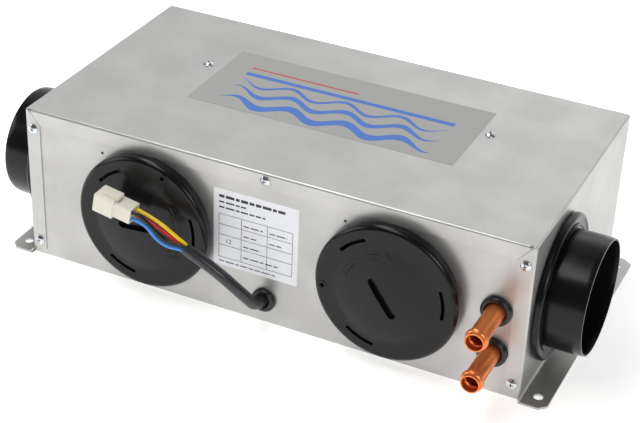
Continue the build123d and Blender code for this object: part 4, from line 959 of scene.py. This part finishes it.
def route_line(name, route_mm, steps):
    """Curve with the smooth line that a route's points control."""
    line = bpy.data.curves.new(name, "CURVE")
    line.dimensions = "3D"
    line.resolution_u = steps
    spline = line.splines.new("NURBS")
    spline.points.add(len(route_mm) - 1)
    for point, place in zip(spline.points, route_mm):
        point.co = (*[c * MM for c in place], 1)
    spline.order_u = 3
    spline.use_endpoint_u = True
    return line


def cord_curve(name, route_mm, diameter, material):
    """Round cord along a smooth line through its route."""
    line = route_line(name, route_mm, CORD_STEPS)
    line.bevel_depth = diameter / 2
    line.bevel_resolution = CORD_ROUNDNESS
    line.use_fill_caps = True
    line.materials.append(material)
    piece = bpy.data.objects.new(name, line)
    bpy.context.scene.collection.objects.link(piece)
    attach(piece, "casing")
    return piece


def line_length(route_mm):
    """Length in metres of the smooth line that a route's points control."""
    line = route_line("measure", route_mm, MEASURE_STEPS)
    holder = bpy.data.objects.new("measure", line)
    points = [vertex.co for vertex in bpy.data.meshes.new_from_object(holder).vertices]
    length = sum((b - a).length for a, b in zip(points, points[1:]))
    bpy.data.objects.remove(holder)
    return length


# the sleeve's PVC is dull dark grey, with a lighter sheen along its upper side
pvc = new_material("soft_black_pvc")
place = add_node(pvc, "TexCoord").outputs["Object"]
scuff = add_node(pvc, "TexNoise", {"Vector": place, "Scale": 1 / (SCUFF_MM * MM), "Detail": 5.0})
inputs = {0: scuff.outputs["Fac"], 6: linear(SLEEVE_BLACK), 7: linear(SLEEVE_SCUFFED)}
tone = add_node(pvc, "Mix", inputs, data_type="RGBA")
inputs = {0: scuff.outputs["Fac"], 1: SLEEVE_ROUGHER, 2: SLEEVE_ROUGHNESS}
gloss = add_node(pvc, "Math", inputs, operation="MULTIPLY_ADD")
bump = add_node(pvc, "Bump", {"Height": scuff.outputs["Fac"], "Distance": SCUFF_DEPTH})
inputs = {"Base Color": tone.outputs[2], "Roughness": gloss.outputs["Value"], "IOR": 1.53}
inputs |= {"Normal": bump.outputs["Normal"]}
surface = add_node(pvc, "BsdfPrincipled", inputs)
add_node(pvc, "OutputMaterial", {"Surface": surface.outputs["BSDF"]})

sleeve = cord_curve("harness_sleeve_cord", SLEEVE_ROUTE, SLEEVE_D, pvc)
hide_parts("harness_sleeve")

# the wires' PVC is clean and bright, with a soft gloss and a trace of grease from handling
for colour, route in WIRE_ROUTES.items():
    jacket = new_material(f"pvc_insulation_{colour}")
    fresh, handled = WIRE_COLOURS[colour]
    place = add_node(jacket, "TexCoord").outputs["Object"]
    inputs = {"Vector": place, "Scale": 1 / (GREASE_MM * MM), "Detail": 4.0}
    grease = add_node(jacket, "TexNoise", inputs)
    inputs = {0: grease.outputs["Fac"], 6: linear(fresh), 7: linear(handled)}
    tone = add_node(jacket, "Mix", inputs, data_type="RGBA")
    inputs = {0: grease.outputs["Fac"], 1: WIRE_ROUGHER, 2: WIRE_ROUGHNESS}
    gloss = add_node(jacket, "Math", inputs, operation="MULTIPLY_ADD")
    inputs = {"Base Color": tone.outputs[2], "Roughness": gloss.outputs["Value"], "IOR": 1.53}
    surface = add_node(jacket, "BsdfPrincipled", inputs)
    add_node(jacket, "OutputMaterial", {"Surface": surface.outputs["BSDF"]})
    cord_curve(f"wire_{colour}_cord", route, WIRE_D, jacket)
    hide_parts(f"wire_{colour}")
    line_length(route)

line_length(SLEEVE_ROUTE)

# Plug
# Housing of natural nylon, off-white and slightly translucent, with a latch rib on top, and
# four tinned brass terminals inside it.
NYLON = "#f3efe1"
NYLON_SHADE = "#eae5d5"
FLOW_MARK_MM = 6.0
NYLON_ROUGHNESS = 0.36
NYLON_ROUGHER = 0.1
NYLON_LIGHT_SHARE = 0.2
NYLON_LIGHT_DEPTH = (2.0 * MM, 1.6 * MM, 1.0 * MM)

# natural nylon lets a little light in, which softens the edges of its ways
nylon = new_material("natural_nylon")
place = add_node(nylon, "TexCoord").outputs["Object"]
flow = add_node(nylon, "TexNoise", {"Vector": place, "Scale": 1 / (FLOW_MARK_MM * MM)})
inputs = {0: flow.outputs["Fac"], 6: linear(NYLON), 7: linear(NYLON_SHADE)}
tone = add_node(nylon, "Mix", inputs, data_type="RGBA")
inputs = {0: flow.outputs["Fac"], 1: NYLON_ROUGHER, 2: NYLON_ROUGHNESS}
gloss = add_node(nylon, "Math", inputs, operation="MULTIPLY_ADD")
inputs = {"Base Color": tone.outputs[2], "Roughness": gloss.outputs["Value"], "IOR": 1.53}
inputs |= {"Subsurface Weight": NYLON_LIGHT_SHARE, "Subsurface Radius": NYLON_LIGHT_DEPTH}
surface = add_node(nylon, "BsdfPrincipled", inputs)
add_node(nylon, "OutputMaterial", {"Surface": surface.outputs["BSDF"]})
finish_nodes(nylon, "connector_housing", "resistor_plug")

# Inside
# The core and its tanks in a near-black painted shade, galvanised brackets, grey nylon fan
# wheels, black scrolls and the small motor, each in its own finish although the casing hides them.
INNER_FINISHES = {
    # in each: two tones, size of the pattern in mm, roughness and how far it varies, metal or
    # not, depth of the relief in mm, and then the nodes that wear it
    # spangled grey zinc, a patchwork of lighter and darker crystals
    "galvanised_sheet": (
        ("#b9bdbf", "#868b8e", 7.0, 0.34, 0.16, 1.0, 0.0),
        ("fan_deck", "core_cradles", "motor_saddle", "motor_straps", "loom_clips"),
    ),
    # the soldered core and tanks are near-black painted shade: their slots and holes look dark
    "core_painted_shade_black": (
        ("#161617", "#0e0e0f", 5.0, 0.55, 0.15, 0.0, 0.01),
        (
            "core_tubes",
            "core_fins",
            "core_side_plates",
            "supply_tank",
            "return_tank",
            "tank_baffle",
        ),
    ),
    # yellow brass that soldering has left cloudy
    "bare_brass": (
        ("#c8aa60", "#94793e", 12.0, 0.28, 0.14, 1.0, 0.0),
        ("shaft_bushes",),
    ),
    # bright tin on the terminals
    "tinned_brass": (("#cfd0cc", "#b4b5b0", 1.5, 0.25, 0.15, 1.0, 0.0), ("connector_terminals",)),
    # dark grey foam with open-looking pores
    "closed_cell_foam": (
        ("#64676a", "#3c3f42", 0.9, 0.88, 0.1, 0.0, 0.15),
        ("core_foam", "core_seal_frame"),
    ),
    # grey nylon, duller than the caps
    "grey_moulded_nylon": (
        ("#6b6f73", "#54585c", 8.0, 0.42, 0.13, 0.0, 0.01),
        ("fan_wheel_left", "fan_wheel_right"),
    ),
    # near-black ferrite and carbon, grainy and dull
    "sintered_ferrite": (
        ("#3f3f42", "#262628", 0.8, 0.5, 0.2, 0.0, 0.03),
        ("motor_magnets", "motor_brushes"),
    ),
    # chalky fired ceramic
    "cement_filled_ceramic": (
        ("#e2dfd5", "#c2beb2", 1.4, 0.68, 0.1, 0.0, 0.05),
        ("speed_resistor",),
    ),
}

for finish_name, (finish, wearers) in INNER_FINISHES.items():
    light_tone, dark_tone, size_mm, rough, vary, metal, depth_mm = finish
    inner = new_material(finish_name)
    place = add_node(inner, "TexCoord").outputs["Object"]
    cloud = add_node(inner, "TexNoise", {"Vector": place, "Scale": 1 / (size_mm * MM)})
    inputs = {0: cloud.outputs["Fac"], 6: linear(light_tone), 7: linear(dark_tone)}
    tone = add_node(inner, "Mix", inputs, data_type="RGBA")
    inputs = {0: cloud.outputs["Fac"], 1: vary, 2: rough}
    gloss = add_node(inner, "Math", inputs, operation="MULTIPLY_ADD")
    bump = add_node(inner, "Bump", {"Height": cloud.outputs["Fac"], "Distance": depth_mm * MM})
    inputs = {"Base Color": tone.outputs[2], "Roughness": gloss.outputs["Value"]}
    inputs |= {"Metallic": metal, "Normal": bump.outputs["Normal"]}
    surface = add_node(inner, "BsdfPrincipled", inputs)
    add_node(inner, "OutputMaterial", {"Surface": surface.outputs["BSDF"]})
    finish_nodes(inner, *wearers)

finish_nodes(copper, "armature_windings", "commutator")
finish_nodes(
    moulded, "scroll_left_outer", "scroll_left_inner", "scroll_right_inner", "scroll_right_outer"
)
finish_nodes(zinc, "motor_can", "motor_end_caps", "fan_shaft", "armature")
finish_nodes(pvc, "inner_loom")
